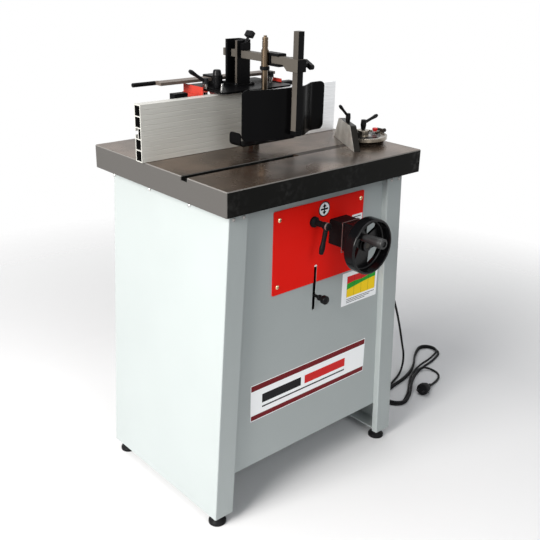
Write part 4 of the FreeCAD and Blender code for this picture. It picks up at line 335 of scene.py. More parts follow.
def zoned(name, first, second, mask):
    """Two finishes, each a colour, roughness and metallic, parted by a mask of the place."""
    r = Recipe(name)
    share = mask(*r.axes())
    cloud = r.noise(45.0, 3.0)
    base = r.mix(share, rgb(first[0]), rgb(second[0]))
    gloss = share * (second[1] - first[1]) + cloud.ramp(0.3, 0.7, first[1] - 0.05, first[1] + 0.05)
    metal = first[2]
    if second[2] != metal:
        metal = share * (second[2] - metal) + metal
    return r.finish(Base_Color=base, Roughness=gloss, Metallic=metal, Specular_IOR_Level=0.06)


def distance(x, y, spot):
    """Distance from an upright axis."""
    dx = x - spot.x
    dy = y - spot.y
    return (dx * dx + dy * dy).maths("SQRT")


def post_paint_and_shade(x, y, z):
    """Mask of the guard post's black: paint on its foot, painted shade on its front, and a thin darkening
    high on its sides.
    """
    # Painted shade: the front face is black like the foot, while the sides stay bare steel.
    front = y.under(at(0, POST_FRONT, 0).y)
    foot = z.under(POST_FOOT)
    return foot.maths("MAXIMUM", z.ramp(*POST_SIDE_DARKENING, 0.0, 0.3)).maths("MAXIMUM", front)


def gauge_inward(x, y):
    """Distance from the gauge's pivot along the normal of its face, negative towards the face."""
    pivot = at(*GAUGE_PIVOT)
    return (x - pivot.x) * math.cos(GAUGE_TURN) + (y - pivot.y) * math.sin(GAUGE_TURN)


def scale_rim(name):
    """Protractor with a bright marked rim, a bright hub face and painted shade in the hollow between them."""
    r = Recipe(name)
    x, y, z = r.axes()
    pivot = at(*GAUGE_PIVOT)
    radius = distance(x, y, pivot)
    turn = (y - pivot.y).maths("ARCTAN2", x - pivot.x) * (180 / math.pi) + 180.0
    step = (turn / 5.0).maths("FRACT")
    # Painted shade: the hollow ring between hub and rim is near black and not metallic.
    hollow = radius.over(SCALE_HOLLOW_SHADE[0]) * radius.under(SCALE_HOLLOW_SHADE[1])
    tick = step.under(0.16) * radius.over(SCALE_TICKS) * z.over(SCALE_TOP)
    stain = r.noise(28.0, 3.0)
    bright = r.mix(stain.ramp(0.4, 0.7), rgb((0.34, 0.305, 0.255)), rgb((0.19, 0.165, 0.13)))
    base = r.mix(hollow, bright, rgb((0.012, 0.011, 0.010)))
    base = r.mix(tick, base, rgb((0.04, 0.04, 0.04)))
    return r.finish(Base_Color=base, Roughness=stain.ramp(0.3, 0.7, 0.18, 0.34),
                    Metallic=0.95 - hollow * 0.9, Specular_IOR_Level=0.15)


def head_metal(name):
    """Milled gauge head: brushed face with rubbed patches and a painted reflection that brightens it towards
    its bottom, dark everywhere behind the face.
    """
    r = Recipe(name)
    x, y, z = r.axes()
    dark = gauge_inward(x, y).over(HEAD_FACE)
    brush = r.noise(1.0, 3.0, r.stretched(60.0, 60.0, 900.0))
    # Rubbed patches, plus a painted reflection that grows towards the bottom of the face.
    wear_and_sheen = r.noise(26.0, 4.0).ramp(0.35, 0.7) * 0.5 + z.ramp(*HEAD_SHEEN, 0.0, 0.5)
    face = r.mix(wear_and_sheen, rgb((0.36, 0.335, 0.295)), rgb((0.78, 0.755, 0.71)))
    base = r.mix(dark, face, rgb((0.010, 0.009, 0.0075)))
    return r.finish(Base_Color=base, Roughness=brush.ramp(0.2, 0.8, 0.26, 0.44),
                    Metallic=0.85 - dark * 0.6, Specular_IOR_Level=0.12,
                    Normal=r.bump(brush, 0.05, 0.0002))


def make_materials(s):
    """Material of each finish, by name."""
    black = tuple(s.black)
    satin = (black, 0.42, 0.0)
    brass = (0.125, 0.092, 0.062)
    return {
        "cabinet": paint("cabinet_grey", s.cabinet, 0.42, 0.15),
        "plate": paint("plate_red", s.plate, 0.40, 0.05),
        "hood": paint("hood_red", s.hood, 0.36, 0.10),
        "black": paint("black_paint", black, 0.34, 0.03, peel=0.05, dust=0.008),
        "gloss": paint("guard_black", black, 0.20, 0.035, peel=0.03, dust=0.0),
        "dull": paint("black_cast", (0.006, 0.006, 0.0065), 0.42, 0.05, peel=0.12, dust=0.02),
        "plastic": plain("black_plastic", (0.005, 0.005, 0.0055), 0.26, shine=0.10),
        "wheel": plain("wheel_black", (0.003, 0.003, 0.0035), 0.22, shine=0.20),
        "grip": plain("grip_black", (0.006, 0.006, 0.0065), 0.46, shine=0.5),
        "zinc": plain("zinc_plated", (0.74, 0.74, 0.72), 0.34, metallic=0.45),
        "screw": plain("yellow_zinc_screw", (0.72, 0.56, 0.34), 0.24, metallic=0.9),
        "rubber": plain("black_rubber", (0.012, 0.012, 0.013), 0.62, shine=0.12),
        "table": table_iron("ground_iron", s.wear),
        # Both fence boards are one anodised aluminium in two copies; the paler copy for the right board is
        # painted reflection.
        "fence": fence_metal("anodised_fence", (0.54, 0.535, 0.50), 0.25),
        "fence_painted_reflection": fence_metal("anodised_fence_light", (0.93, 0.94, 0.95), 0.6),
        "steel_x": brushed("steel_along_x", (0.030, 0.022, 0.017), 0.40, 0, metallic=0.1, shine=0.08),
        "steel_y": brushed("steel_along_y", (0.080, 0.072, 0.062), 0.40, 1, metallic=0.1, shine=0.08),
        "bright": brushed("bright_steel", (0.62, 0.62, 0.61), 0.22, 2, stain=0.1),
        "spindle": brushed("spindle_steel", (0.30, 0.29, 0.275), 0.38, 2, stain=0.2),
        "brass": brushed("yellow_zinc", brass, 0.26, 2),
        # Painted shade: the guard post's front face is black like its painted foot.
        "post": zoned("post_steel", ((0.084, 0.075, 0.065), 0.38, 0.0), satin, post_paint_and_shade),
        # Painted shade: the guard arm's near end face is black, the rest bare steel.
        "arm": zoned("arm_steel", ((0.080, 0.072, 0.062), 0.40, 0.1), satin,
                     lambda x, y, z: y.under(at(0, ARM_END, 0).y)),
        "sleeve": zoned("clamp_and_sleeve", (black, 0.40, 0.0), (brass, 0.26, 1.0),
                        lambda x, y, z: (distance(x, y, at(*ROD_AXIS)).under(SLEEVE_RADIUS)
                                         * z.over(SLEEVE_FOOT))),
        "column": zoned("column_black", satin, ((0.060, 0.052, 0.044), 0.40, 0.0),
                        lambda x, y, z: (x.under(at(COLUMN_LEFT, 0, 0).x)
                                         * y.under(at(0, COLUMN_MIDDLE, 0).y) * z.over(COLUMN_FOOT))),
        "lever": zoned("lever_and_hub", ((0.010, 0.010, 0.011), 0.34, 0.0),
                       ((0.58, 0.57, 0.55), 0.25, 1.0), lambda x, y, z: z.under(LEVER_HUB)),
        "side_arm": zoned("side_arm_steel", ((0.14, 0.115, 0.098), 0.42, 0.4), satin,
                          lambda x, y, z: x.under(at(GRIP_RIGHT, 0, 0).x)),
        "foot": zoned("foot_pad_and_stud", ((0.010, 0.010, 0.011), 0.34, 0.0),
                      ((0.66, 0.66, 0.64), 0.30, 0.6), lambda x, y, z: z.over(FOOT_PAD)),
        "cast": plain("grey_casting", (0.10, 0.105, 0.11), 0.55, metallic=0.2),
        "head": head_metal("gauge_head_metal"),
        "iron": plain("grey_iron", (0.30, 0.29, 0.28), 0.4, metallic=0.8),
        "scale": scale_rim("gauge_scale"),
        "green": plain("button_green", (0.02, 0.22, 0.06), 0.35),
        "red": plain("knob_red", (0.60, 0.015, 0.015), 0.32),
        "white": plain("label_white", (0.93, 0.94, 0.95), 0.42),
        "ink": plain("label_black", (0.008, 0.008, 0.010), 0.42, shine=0.1),
        "label_red": plain("label_red", (0.62, 0.02, 0.02), 0.42, shine=0.1),
        "label_maroon": plain("label_maroon", (0.16, 0.008, 0.012), 0.42, shine=0.1),
        "label_green": plain("label_green", (0.02, 0.33, 0.03), 0.42, shine=0.1),
        "label_yellow": plain("label_yellow", (0.93, 0.64, 0.015), 0.42, shine=0.1),
    }


# Solids that have each finish
FINISH_NODES = {
    "table": "table insert_rings",
    "cabinet": "side_panel_left side_panel_right front_panel rear_panel rear_door floor_shelf",
    "plate": "control_plate",
    "foot": "levelling_feet",
    "dull": "bearing_block height_lock_lever",
    "plastic": "position_indicator spindle_lock cover_knob arm_screw post_knob gauge_face_lever "
               "gauge_pivot_lever switch_box cord_gland",
    "wheel": "handwheel",
    "grip": "handwheel_grip",
    "steel_x": "gauge_bar",
    "steel_y": "handwheel_shaft",
    "cast": "lift_gearbox carriage motor",
    "bright": "lift_guides lift_screw spindle_bearings",
    "spindle": "spindle arbor_rings",
    "iron": "spindle_pulley motor_pulley",
    "rubber": "drive_belt mains_cord cord_hank mains_plug",
    "black": "fence_base cover_plate fence_carrier_left fence_carrier_right hold_down_shoe",
    "hood": "hood",
    # The right fence board gets the paler copy of the aluminium, a painted reflection.
    "fence": "fence_board_left",
    "fence_painted_reflection": "fence_board_right",
    "lever": "clamp_lever_left clamp_lever_right",
    "side_arm": "side_arm",
    "column": "guard_column",
    "arm": "guard_arm",
    "post": "guard_post",
    "gloss": "guard",
    "sleeve": "rod_clamp",
    "brass": "hold_down_rod",
    "head": "gauge_head",
    "scale": "gauge_protractor",
    "green": "start_button",
    "red": "stop_button",
}
MATERIALS = {}


# Shapes

def slab(bm, outline, origin, u, v, depth, corner=0.0):
    """Plate with an outline in the plane of u and v, thickened along their cross product, corners rounded."""
    n = u.cross(v).normalized()
    face = bm.faces.new([bm.verts.new(origin + u * a + v * b) for a, b in outline])
    grown = bmesh.ops.extrude_face_region(bm, geom=[face])["geom"]
    moved = [g for g in grown if isinstance(g, bmesh.types.BMVert)]
    bmesh.ops.translate(bm, verts=moved, vec=n * depth)
    if corner:
        uprights = [e for v in moved for e in v.link_edges if e.other_vert(v) not in moved]
        bmesh.ops.bevel(bm, geom=uprights, offset=corner, offset_type="OFFSET", affect="EDGES",
                        segments=4, profile=0.5, material=-1)


def lathe(bm, profile, base, axis, steps=32):
    """Solid of revolution from (radius, height) points about an axis."""
    axis = axis.normalized()
    side = axis.orthogonal().normalized()
    points = [bm.verts.new(base + side * r + axis * h) for r, h in profile]
    edges = [bm.edges.new(pair) for pair in zip(points, points[1:])]
    bmesh.ops.spin(bm, geom=points + edges, cent=base, axis=axis, angle=math.tau, steps=steps,
                   use_merge=True)


def sides(left, right, low, high):
    """Outline of a rectangle from its sides."""
    return [(left, low), (right, low), (right, high), (left, high)]


def oblong(width, height):
    """Outline of a rectangle about its middle."""
    return sides(-width / 2, width / 2, -height / 2, height / 2)


def piece(name, bm, body, finish):
    """Object from a bmesh that rides on a CAD body."""
    bmesh.ops.remove_doubles(bm, verts=bm.verts[:], dist=1e-7)
    bmesh.ops.recalc_face_normals(bm, faces=bm.faces[:])
    mesh = bpy.data.meshes.new(name)
    bm.to_mesh(mesh)
    bm.free()
    mesh.shade_smooth()
    mesh.set_sharp_from_angle(angle=math.radians(35))
    made = bpy.data.objects.new(name, mesh)
    bpy.context.scene.collection.objects.link(made)
    made.data.materials.append(MATERIALS[finish])
    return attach(made, body)


def on_front(bm, outline, x, z, face, lift, depth=0.05, corner=0.0):
    """Thin plate on the front of the machine, its outline in millimetres about (x, z)."""
    points = [(a * MM, b * MM) for a, b in outline]
    slab(bm, points, at(x, face - lift, z), X, Z, depth * MM, corner * MM)


def turned(name, body, finish, profile, place, axis):
    """Piece turned from one profile of (radius, height) points."""
    bm = bmesh.new()
    lathe(bm, profile, at(*place), axis)
    piece(name, bm, body, finish)


def screws(name, body, finish, places, axis, radius, height):
    """Piece with a pan screw head at each place."""
    profile = [(0, 0), (radius, 0), (radius, height * 0.45), (radius * 0.75, height * 0.85),
               (radius * 0.42, height), (0, height)]
    bm = bmesh.new()
    for place in places:
        lathe(bm, profile, at(*place), axis, 20)
    piece(name, bm, body, finish)


# Mains cord

CORD_RADIUS = 3.5
CORD_START = (332.146, -92.0, 453.755)
CORD_ROUTE = (
    (372.0, -92.0, 456.0), (420.0, -86.0, 432.0), (470.0, -76.0, 372.0), (510.0, -66.0, 308.0),
    (548.0, -54.0, 240.0), (584.0, -40.0, 176.0), (622.0, -22.0, 112.0), (652.0, -9.0, 64.0),
    (648.0, -12.0, 26.0), (620.0, -23.0, 3.6), (560.0, -43.0, 3.7), (514.0, -57.0, 3.6),
)
LEAD_ROUTE = (
    (33.0, -12.8, 11.2), (52.9, -29.5, 10.8), (57.4, -55.1, 5.0), (44.4, -77.6, 3.6), (16.2, -87.9, 3.6),
    (-22.0, -84.4, 4.6), (-56.0, -78.4, 8.6),
)
CORD_REST = 3.6
HANK_CENTRE = (656.0, -48.0)
HANK_TURN = math.radians(21.16)
HANK_HALF = 177.0
HANK_INNER = 30.0
HANK_STEP = 4.3
HANK_WAIST = 4.2
HANK_LAYER = 7.6
HANK_REVERSE = 3
PLUG_TILT = math.radians(9.0)
PLUG_BODY = ((7.0, 19), (12.5, 26), (14.25, 28), (18.6, 43.5), (19.0, 45), (19.0, 58.5), (18.0, 60), (0, 60))
PLUG_PIN = ((0, 0), (2.4, 0), (2.4, 18.0), (1.6, 19.5), (0, 19.5))
PIN_FOOT = 59.5
PIN_OFFSET = 9.5


def hank_point(along, across, height):
    """Place of a point given along and across the hank."""
    return (HANK_CENTRE[0] + along * math.cos(HANK_TURN) - across * math.sin(HANK_TURN),
            HANK_CENTRE[1] + along * math.sin(HANK_TURN) + across * math.cos(HANK_TURN), height)


def hank_offset(run):
    """Distance of one of the hank's runs from its middle line."""
    return HANK_INNER + abs(HANK_REVERSE - run) * HANK_STEP


def s_bend(start, end, count=12):
    """Points (along, across, height) after start on two equal arcs to end, both ends along the hank."""
    reach = abs(end[0] - start[0])
    shift = Vector((end[1] - start[1], end[2] - start[2]))
    radius = (reach ** 2 + shift.length ** 2) / (4 * shift.length)
    points = []
    for i in range(1, count + 1):
        share = i / count
        near = min(share, 1 - share) * reach
        bow = (radius - math.sqrt(radius ** 2 - near ** 2)) / shift.length
        part = bow if share <= 0.5 else 1 - bow
        along = start[0] + (end[0] - start[0]) * share
        points.append((along, start[1] + shift.x * part, start[2] + shift.y * part))
    return points


def hank_points():
    """Points of the hank's loops, from its first straight end to its waist."""
    draw = HANK_INNER - HANK_WAIST
    first = hank_offset(0)
    points = [(-HANK_HALF + 2 * CORD_RADIUS, first, CORD_REST)]
    last_run = 2 * HANK_REVERSE - 1
    for run in range(1, last_run + 1):
        side = 1 if run % 2 == 0 else -1
        low = CORD_REST if run <= HANK_REVERSE else CORD_REST + HANK_LAYER
        high = CORD_REST if run < HANK_REVERSE else CORD_REST + HANK_LAYER
        before = -side * hank_offset(run - 1)
        now = side * hank_offset(run)
        middle = (before + now) / 2
        tip = abs(now - before) / 2
        for i in range(13):
            angle = math.pi * i / 12
            along = side * (HANK_HALF + tip * math.sin(angle))
            points.append((along, middle - side * tip * math.cos(angle), low))
        waist = side * (hank_offset(run) - draw)
        points += s_bend((side * HANK_HALF, now, low), (0, waist, high))
        if run < last_run:
            points += s_bend((0, waist, high), (-side * HANK_HALF, now, high))[:-1]
    return [hank_point(*p) for p in points]


class MOULDER_OT_cord(bpy.types.Operator):
    """Lays the mains cord with its hank and plug in place of their plain solids"""

    bl_idname = "moulder.cord"
    bl_label = "Mains cord"

    def execute(self, context):
        lead = [hank_point(*p) for p in LEAD_ROUTE]
        route = [at(*p) for p in [CORD_START, *CORD_ROUTE, *hank_points(), *lead]]
        curve = bpy.data.curves.new("mains_flex", "CURVE")
        curve.dimensions = "3D"
        curve.bevel_depth = CORD_RADIUS * MM
        curve.bevel_resolution = 3
        curve.resolution_u = 5
        curve.use_fill_caps = True
        spline = curve.splines.new("NURBS")
        spline.points.add(len(route) - 1)
        for knot, point in zip(spline.points, route):
            knot.co = (*point, 1.0)
        spline.order_u = 3
        spline.use_endpoint_u = True
        curve.materials.append(MATERIALS["rubber"])
        flex = bpy.data.objects.new("mains_flex", curve)
        context.scene.collection.objects.link(flex)
        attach(flex, "stand")
        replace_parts(flex, "mains_cord", "cord_hank")
        plug = self.plug(lead)
        return {"FINISHED"}

    def plug(self, lead):
        """Moulded two-pin plug on the end of the lead."""
        end = at(*lead[-1])
        heading = end - at(*lead[-2])
        heading.z = 0
        heading.normalize()
        axis = heading * math.cos(PLUG_TILT) + Z * math.sin(PLUG_TILT)
        bm = bmesh.new()
        relief = [(0, 0), (5.0, 0)]
        for i in range(5):
            r, h = 5.2 + 0.4 * i, 1.0 + 3.6 * i
            relief += [(r, h), (r, h + 2.2), (r - 0.6, h + 2.4)]
        lathe(bm, [(r * MM, h * MM) for r, h in (*relief, *PLUG_BODY)], end, axis)
        pin = [(r * MM, h * MM) for r, h in PLUG_PIN]
        side = axis.cross(Z).normalized()
        for offset in (-PIN_OFFSET, PIN_OFFSET):
            lathe(bm, pin, end + (axis * PIN_FOOT + side * offset) * MM, axis, 16)
        lowest = min(v.co.z for v in bm.verts)
        bmesh.ops.translate(bm, verts=bm.verts[:], vec=Z * max(0.0, 0.0001 - lowest))
        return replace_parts(piece("plug_moulded", bm, "stand", "rubber"), "mains_plug")


class MOULDER_OT_finishes(bpy.types.Operator):
    """Gives each solid its finish"""

    bl_idname = "moulder.finishes"
    bl_label = "Finishes"

    def execute(self, context):
        MATERIALS.update(make_materials(context.scene.moulder))
        for finish, names in FINISH_NODES.items():
            for name in names.split():
                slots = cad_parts[name].data.materials
                slots.clear()
                slots.append(MATERIALS[finish])
        return {"FINISHED"}


class MOULDER_OT_labels(bpy.types.Operator):
    """Adds the plain, wordless labels of the front"""

    bl_idname = "moulder.labels"
    bl_label = "Labels"
    DIAL_PLACE = (19.5, 750)
    DIAL_RIM = 0.019
    DIAL_FACE = 0.0160
    CHART_PLACE = (166.5, 516.5)
    CHART_SIZE = (133, 91)
    STRIP_PLACE = (2.5, 300)
    STRIP_SIZE = (403, 100)
    SMALL_PLACE = (136.5, 702.5)
    SMALL_SIZE = (37, 25)

    def execute(self, context):
        self.sheet = context.scene.moulder.label_depth / MM
        self.dial()
        self.chart()
        self.strip()
        self.small()
        return {"FINISHED"}

    def blank(self, name, size, place, face):
        """White sheet with rounded corners."""
        bm = bmesh.new()
        on_front(bm, oblong(*size), *place, face, 0, self.sheet, 1.5)
        piece(name, bm, "stand", "white")

    def small(self):
        """Small white label with three plain bars, level at their left ends."""
        self.blank("small_label", self.SMALL_SIZE, self.SMALL_PLACE, PLATE_FACE)
        x, z = self.SMALL_PLACE
        bm = bmesh.new()
        for i, width in enumerate((26, 18, 22)):
            bar = sides(-13, width - 13, -1.2, 1.2)
            on_front(bm, bar, x, z + 6.5 - 6 * i, PLATE_FACE, self.sheet, corner=0.8)
        piece("small_label_bars", bm, "stand", "ink")

    def dial(self):
        """Round badge with a two-way arrow."""
        x, z = self.DIAL_PLACE
        thick = self.sheet * MM
        discs = (("dial_rim", "ink", self.DIAL_RIM), ("dial_face", "white", self.DIAL_FACE))
        for layer, (name, finish, radius) in enumerate(discs):
            bm = bmesh.new()
            base = at(x, PLATE_FACE - layer * self.sheet, z)
            lathe(bm, [(0, 0), (radius, 0), (radius, thick), (0, thick)], base, -Y, 40)
            piece(name, bm, "stand", finish)
        top = 2 * self.sheet
        bm = bmesh.new()
        on_front(bm, oblong(4.0, 14), x, z, PLATE_FACE, top, corner=0.4)
        on_front(bm, oblong(24, 4.4), x, z, PLATE_FACE, top, corner=0.6)
        for s in (-1, 1):
            on_front(bm, [(-6.5, s * 5.5), (6.5, s * 5.5), (0, s * 14)], x, z, PLATE_FACE, top)
        piece("dial_arrow", bm, "stand", "ink")

    def chart(self):
        """White chart with three coloured bands and rules."""
        x, z = self.CHART_PLACE
        half = self.CHART_SIZE[0] / 2
        self.blank("chart_sheet", self.CHART_SIZE, self.CHART_PLACE, PANEL_FACE)
        left, right = 18 - half, half - 8
        bands = {"label_yellow": (-2, 2, 6, 9, 11), "label_green": (14, 17, 16, 20, 22),
                 "label_red": (34, 34, 34, 34, 34)}
        steps = [left + (right - left) * i / 4 for i in range(5)]
        lower = [(a, -24) for a in steps]
        for finish, tops in bands.items():
            upper = list(zip(steps, tops))
            bm = bmesh.new()
            on_front(bm, lower + upper[::-1], x, z, PANEL_FACE, self.sheet)
            piece("chart_" + finish, bm, "stand", finish)
            lower = upper
        bm = bmesh.new()
        for step in steps:
            on_front(bm, oblong(0.5, 58), x + step, z + 5, PANEL_FACE, self.sheet + 0.05)
        for i in range(3):
            rule = oblong(right - left - 18 * i, 1.6)
            on_front(bm, rule, x + 5 - 9 * i, z - 30 - 4.5 * i, PANEL_FACE, self.sheet, corner=0.5)
        piece("chart_rules", bm, "stand", "ink")

    def strip(self):
        """White strip with a band along both long edges and plain bars in place of lettering."""
        self.blank("strip_sheet", self.STRIP_SIZE, self.STRIP_PLACE, PANEL_FACE)
        bars = {"strip_red": ("label_maroon", (-200, 200, 33, 48), (-200, 200, -48, -35)),
                "strip_black": ("ink", (-165, -35, -8, 16)),
                "strip_rule": ("ink", (-165, 125, -21, -17)),
                "strip_accent": ("label_red", (-22, 125, -8, 16))}
        for name, (finish, *boxes) in bars.items():
            bm = bmesh.new()
            for box in boxes:
                on_front(bm, sides(*box), *self.STRIP_PLACE, PANEL_FACE, self.sheet, corner=1.0)
            piece(name, bm, "stand", finish)


class MOULDER_OT_fasteners(bpy.types.Operator):
    """Adds screws and other small fittings"""

    bl_idname = "moulder.fasteners"
    bl_label = "Fasteners"
    PANEL_SCREW_Z = 786
    LIP_MIDDLE = 254
    LIP_FACE = -230
    PANEL_SIDE = -281.3
    BASE_TOP = 1006
    GUARD_BOLTS = ((0, -117, 936), (0, -117, 960))
    STUD_PLACE = (-78, 49, 1002)
    COVER_STUD = ((0, 0), (0.005, 0), (0.005, 0.004), (0.0035, 0.0045), (0.0035, 0.012), (0, 0.0125))
    RING_PLACE = (-15, PLATE_FACE - 45, 726)
    LEVER_RING = ((0.0088, 0), (0.0094, 0), (0.0094, 0.004), (0.0088, 0.004), (0.0088, 0))
    WEB_SPANS = {"left": (-317.7, -24.3), "right": (33.3, 297.7)}
    WEB_LOW = 914.3
    WEB_HIGH = 936.9
    WEB_FRONT = 48
    STOP_PLACE = (0, 610.9)
    INDICATOR_FRONT = -256
    INDICATOR_RIM = 0.0008

    def execute(self, context):
        head = context.scene.moulder.screw_radius
        on_plate = [(x, PLATE_FACE, z) for x, z in PLATE_SCREWS]
        screws("plate_screws", "stand", "screw", on_plate, -Y, head, 0.003)
        self.cross_slots(head)
        on_lips = [(side * self.LIP_MIDDLE + dx, self.LIP_FACE, self.PANEL_SCREW_Z)
                   for side in (-1, 1) for dx in (-14, 14)]
        screws("lip_screws", "stand", "iron", on_lips, -Y, 0.0042, 0.0026)
        on_side = [(self.PANEL_SIDE, y, self.PANEL_SCREW_Z) for y in (-91, 66, 222)]
        screws("panel_screws", "stand", "bright", on_side, -X, 0.0042, 0.003)
        on_base = [(x, y, self.BASE_TOP) for x in (-26, 26) for y in (60, 109)]
        screws("column_screws", "fence", "plastic", on_base, Z, 0.0042, 0.004)
        turned("cover_stud", "fence", "bright", self.COVER_STUD, self.STUD_PLACE, Z)
        self.indicator_frame()
        self.fence_webs()
        turned("lock_lever_ring", "height_lock_lever", "iron", self.LEVER_RING, self.RING_PLACE, -Y)
        bm = bmesh.new()
        on_front(bm, oblong(9, 5.2), *self.STOP_PLACE, PLATE_FACE, -1.5, 0.5, 1.0)
        piece("lock_slot_stop", bm, "stand", "zinc")
        screws("guard_bolts", "guard_post", "bright", self.GUARD_BOLTS, Y, 0.0055, 0.003)
        return {"FINISHED"}

    def cross_slots(self, head):
        """Dark cross in each head of the control plate's screws, each at its own angle."""
        bm = bmesh.new()
        for i, (x, z) in enumerate(PLATE_SCREWS):
            for turn in (25 * i, 25 * i + 90):
                along = X * math.cos(math.radians(turn)) + Z * math.sin(math.radians(turn))
                across = -Y.cross(along)
                slot = oblong(head * 1.1, head * 0.24)
                slab(bm, slot, at(x, PLATE_FACE - 2.9, z), along, across, 0.0002)
        piece("plate_screw_slots", bm, "stand", "ink")

    def fence_webs(self):
        """Back wall of the long groove in each fence board."""
        for side, span in self.WEB_SPANS.items():
            bm = bmesh.new()
            on_front(bm, sides(*span, self.WEB_LOW, self.WEB_HIGH), 0, 0, self.WEB_FRONT, 0, 2.0)
            piece("fence_web_" + side, bm, "fence_" + side, "fence")

    def indicator_frame(self):
        """Thin bright iron rim around the position indicator, the edge of a plate behind it, set there as a
        painted highlight along the block's corner.
        """
        low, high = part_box("position_indicator")
        rim = self.INDICATOR_RIM
        front = Y * at(0, self.INDICATOR_FRONT, 0).y
        edges = ((low.x - rim, low.x, low.z - rim, high.z + rim),
                 (high.x, high.x + rim, low.z - rim, high.z + rim),
                 (low.x, high.x, high.z, high.z + rim), (low.x, high.x, low.z - rim, low.z))
        bm = bmesh.new()
        for edge in edges:
            slab(bm, sides(*edge), front, X, Z, 0.002)
        piece("indicator_highlight_rim", bm, "stand", "iron")


class MOULDER_OT_gauge(bpy.types.Operator):
    """Adds the mitre gauge's pointer and red knob"""

    bl_idname = "moulder.gauge"
    bl_label = "Gauge fittings"
    POINTER = ((290, -114.5), (296, -119), (315.8, -119), (315.8, -107), (296, -107), (290, -111.5))
    KNOB = ((0, 0), (0.0050, 0), (0.0050, 0.002), (0.0068, 0.003), (0.0072, 0.006), (0.0060, 0.0078),
            (0, 0.0082))
    POINTER_FOOT = 881
    POINTER_THICK = 1.4
    KNOB_PLACE = (299, -113, POINTER_FOOT + POINTER_THICK)

    def execute(self, context):
        bm = bmesh.new()
        outline = [(x * MM, y * MM) for x, y in self.POINTER]
        slab(bm, outline, at(0, 0, self.POINTER_FOOT), X, Y, self.POINTER_THICK * MM)
        piece("gauge_pointer", bm, "mitre_gauge", "bright")
        turned("gauge_knob", "mitre_gauge", "red", self.KNOB, self.KNOB_PLACE, Z)
        return {"FINISHED"}


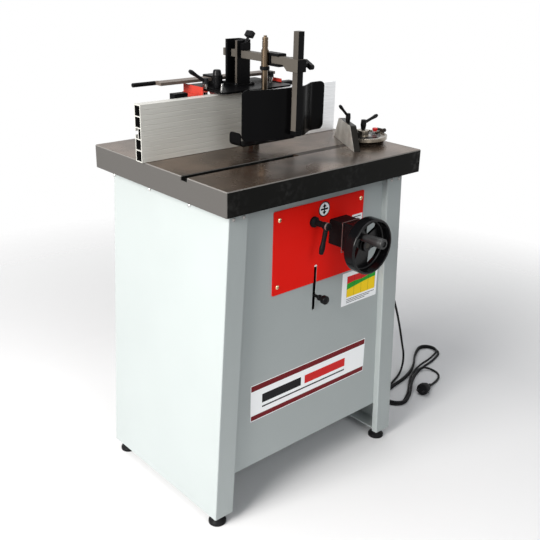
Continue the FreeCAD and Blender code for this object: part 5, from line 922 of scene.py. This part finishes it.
class MOULDER_OT_stage(bpy.types.Operator):
    """Sets the floor, lights, white surround and camera"""

    bl_idname = "moulder.stage"
    bl_label = "Studio"
    CAMERA_PLACE = (-1254.8, -1442.8, 1310.8)
    CAMERA_TURN = (42.025, 22.164, -1.352)
    FOCAL_PIXELS = 784.2
    PICTURE_PIXELS = 540
    ROOM_DIM = (0.06, 0.063, 0.066, 1)
    ROOM_BRIGHT = (0.95, 0.97, 1.0, 1)

    def execute(self, context):
        settings = context.scene.moulder
        self.floor(settings.floor)
        self.light("key", (-2800, -350, 1900), (0, 0, 550), 1.8, settings.key, (1.0, 0.98, 0.95))
        self.light("fill", (-700, -2900, 2300), (0, 0, 450), 1.6, settings.fill, (0.95, 0.98, 1.0))
        self.light("top", (200, 500, 3000), (0, 0, 800), 2.4, settings.fill, (1.0, 1.0, 1.0))
        self.world()
        self.camera()
        context.scene.view_settings.view_transform = "Standard"
        return {"FINISHED"}

    def floor(self, shade):
        """Pale floor that fades into the white surround."""
        bm = bmesh.new()
        bmesh.ops.create_grid(bm, x_segments=1, y_segments=1, size=6.0)
        bmesh.ops.translate(bm, verts=bm.verts[:], vec=(0, 0, -0.0002))
        mesh = bpy.data.meshes.new("floor")
        bm.to_mesh(mesh)
        bm.free()
        made = bpy.data.objects.new("floor", mesh)
        bpy.context.scene.collection.objects.link(made)
        r = Recipe("floor_pale")
        x, y, _ = r.axes()
        far = (x * x + y * y).maths("SQRT").ramp(0.9, 2.2)
        ground = r.node("ShaderNodeBsdfDiffuse", [(shade, shade, shade * 1.01, 1.0)])
        clear = r.node("ShaderNodeBsdfTransparent", [(1, 1, 1, 1)])
        r.node("ShaderNodeOutputMaterial", [r.node("ShaderNodeMixShader", [far, ground, clear])])
        mesh.materials.append(r.owner)

    def light(self, name, place, target, size, power, colour):
        """Disk lamp at a place, aimed at a target."""
        data = bpy.data.lights.new(name, "AREA")
        data.shape = "DISK"
        data.size = size
        data.energy = power
        data.color = colour
        lamp = bpy.data.objects.new(name, data)
        lamp.location = at(*place)
        lamp.rotation_mode = "QUATERNION"
        lamp.rotation_quaternion = (at(*target) - at(*place)).to_track_quat("-Z", "Y")
        bpy.context.scene.collection.objects.link(lamp)

    def world(self):
        """White where seen or mirrored, and a room, brighter on the left, that lights the machine."""
        world = bpy.data.worlds.new("surround")
        bpy.context.scene.world = world
        r = Recipe("surround", world)
        ray = r.node("ShaderNodeLightPath", output="Is Camera Ray")
        for kind in ("Is Glossy Ray", "Is Transmission Ray"):
            ray = ray.maths("MAXIMUM", r.node("ShaderNodeLightPath", output=kind))
        seen = r.node("ShaderNodeTexCoord", output="Generated")
        across, _, up = r.parts(seen)
        left = across.ramp(0.5, -0.9)
        high = up.ramp(-0.2, 0.6)
        room = r.mix(left * high, self.ROOM_DIM, self.ROOM_BRIGHT)
        lit = r.node("ShaderNodeBackground", [room, 0.75])
        white = r.node("ShaderNodeBackground", [(1, 1, 1, 1), 1.0])
        r.node("ShaderNodeOutputWorld", [r.node("ShaderNodeMixShader", [ray, lit, white])])

    def camera(self):
        """Camera at the photo's place and angle."""
        yaw, pitch, roll = [math.radians(angle) for angle in self.CAMERA_TURN]
        level_way = Vector((math.sin(yaw), math.cos(yaw), 0))
        ahead = level_way * math.cos(pitch) - Z * math.sin(pitch)
        right = Vector((math.cos(yaw), -math.sin(yaw), 0))
        down = ahead.cross(right)
        level = right * math.cos(roll) + down * math.sin(roll)
        fall = down * math.cos(roll) - right * math.sin(roll)
        turn = Matrix((level, -fall, -ahead)).transposed()
        data = bpy.data.cameras.new("photo_view")
        data.sensor_width = 36.0
        data.lens = self.FOCAL_PIXELS / self.PICTURE_PIXELS * data.sensor_width
        data.clip_end = 50.0
        camera = bpy.data.objects.new("photo_view", data)
        camera.matrix_world = Matrix.Translation(at(*self.CAMERA_PLACE)) @ turn.to_4x4()
        bpy.context.scene.collection.objects.link(camera)
        bpy.context.scene.camera = camera


class MOULDER_PT_panel(bpy.types.Panel):
    """Settings and steps of the machine's looks"""

    bl_idname = "MOULDER_PT_panel"
    bl_label = "Spindle moulder"
    bl_space_type = "VIEW_3D"
    bl_region_type = "UI"
    bl_category = "Moulder"

    def draw(self, context):
        for name in Settings.__annotations__:
            self.layout.prop(context.scene.moulder, name)
        for step in STEPS:
            self.layout.operator(step.bl_idname)


STEPS = (MOULDER_OT_finishes, MOULDER_OT_cord, MOULDER_OT_labels, MOULDER_OT_fasteners, MOULDER_OT_gauge,
         MOULDER_OT_stage)
CLASSES = (Settings, *STEPS, MOULDER_PT_panel)


def register():
    for cls in CLASSES:
        bpy.utils.register_class(cls)
    bpy.types.Scene.moulder = bpy.props.PointerProperty(type=Settings)


def unregister():
    del bpy.types.Scene.moulder
    for cls in reversed(CLASSES):
        bpy.utils.unregister_class(cls)


def main():
    register()
    for step in STEPS:
        group, name = step.bl_idname.split(".")
        getattr(getattr(bpy.ops, group), name)()


if __name__ == "__main__":
    main()
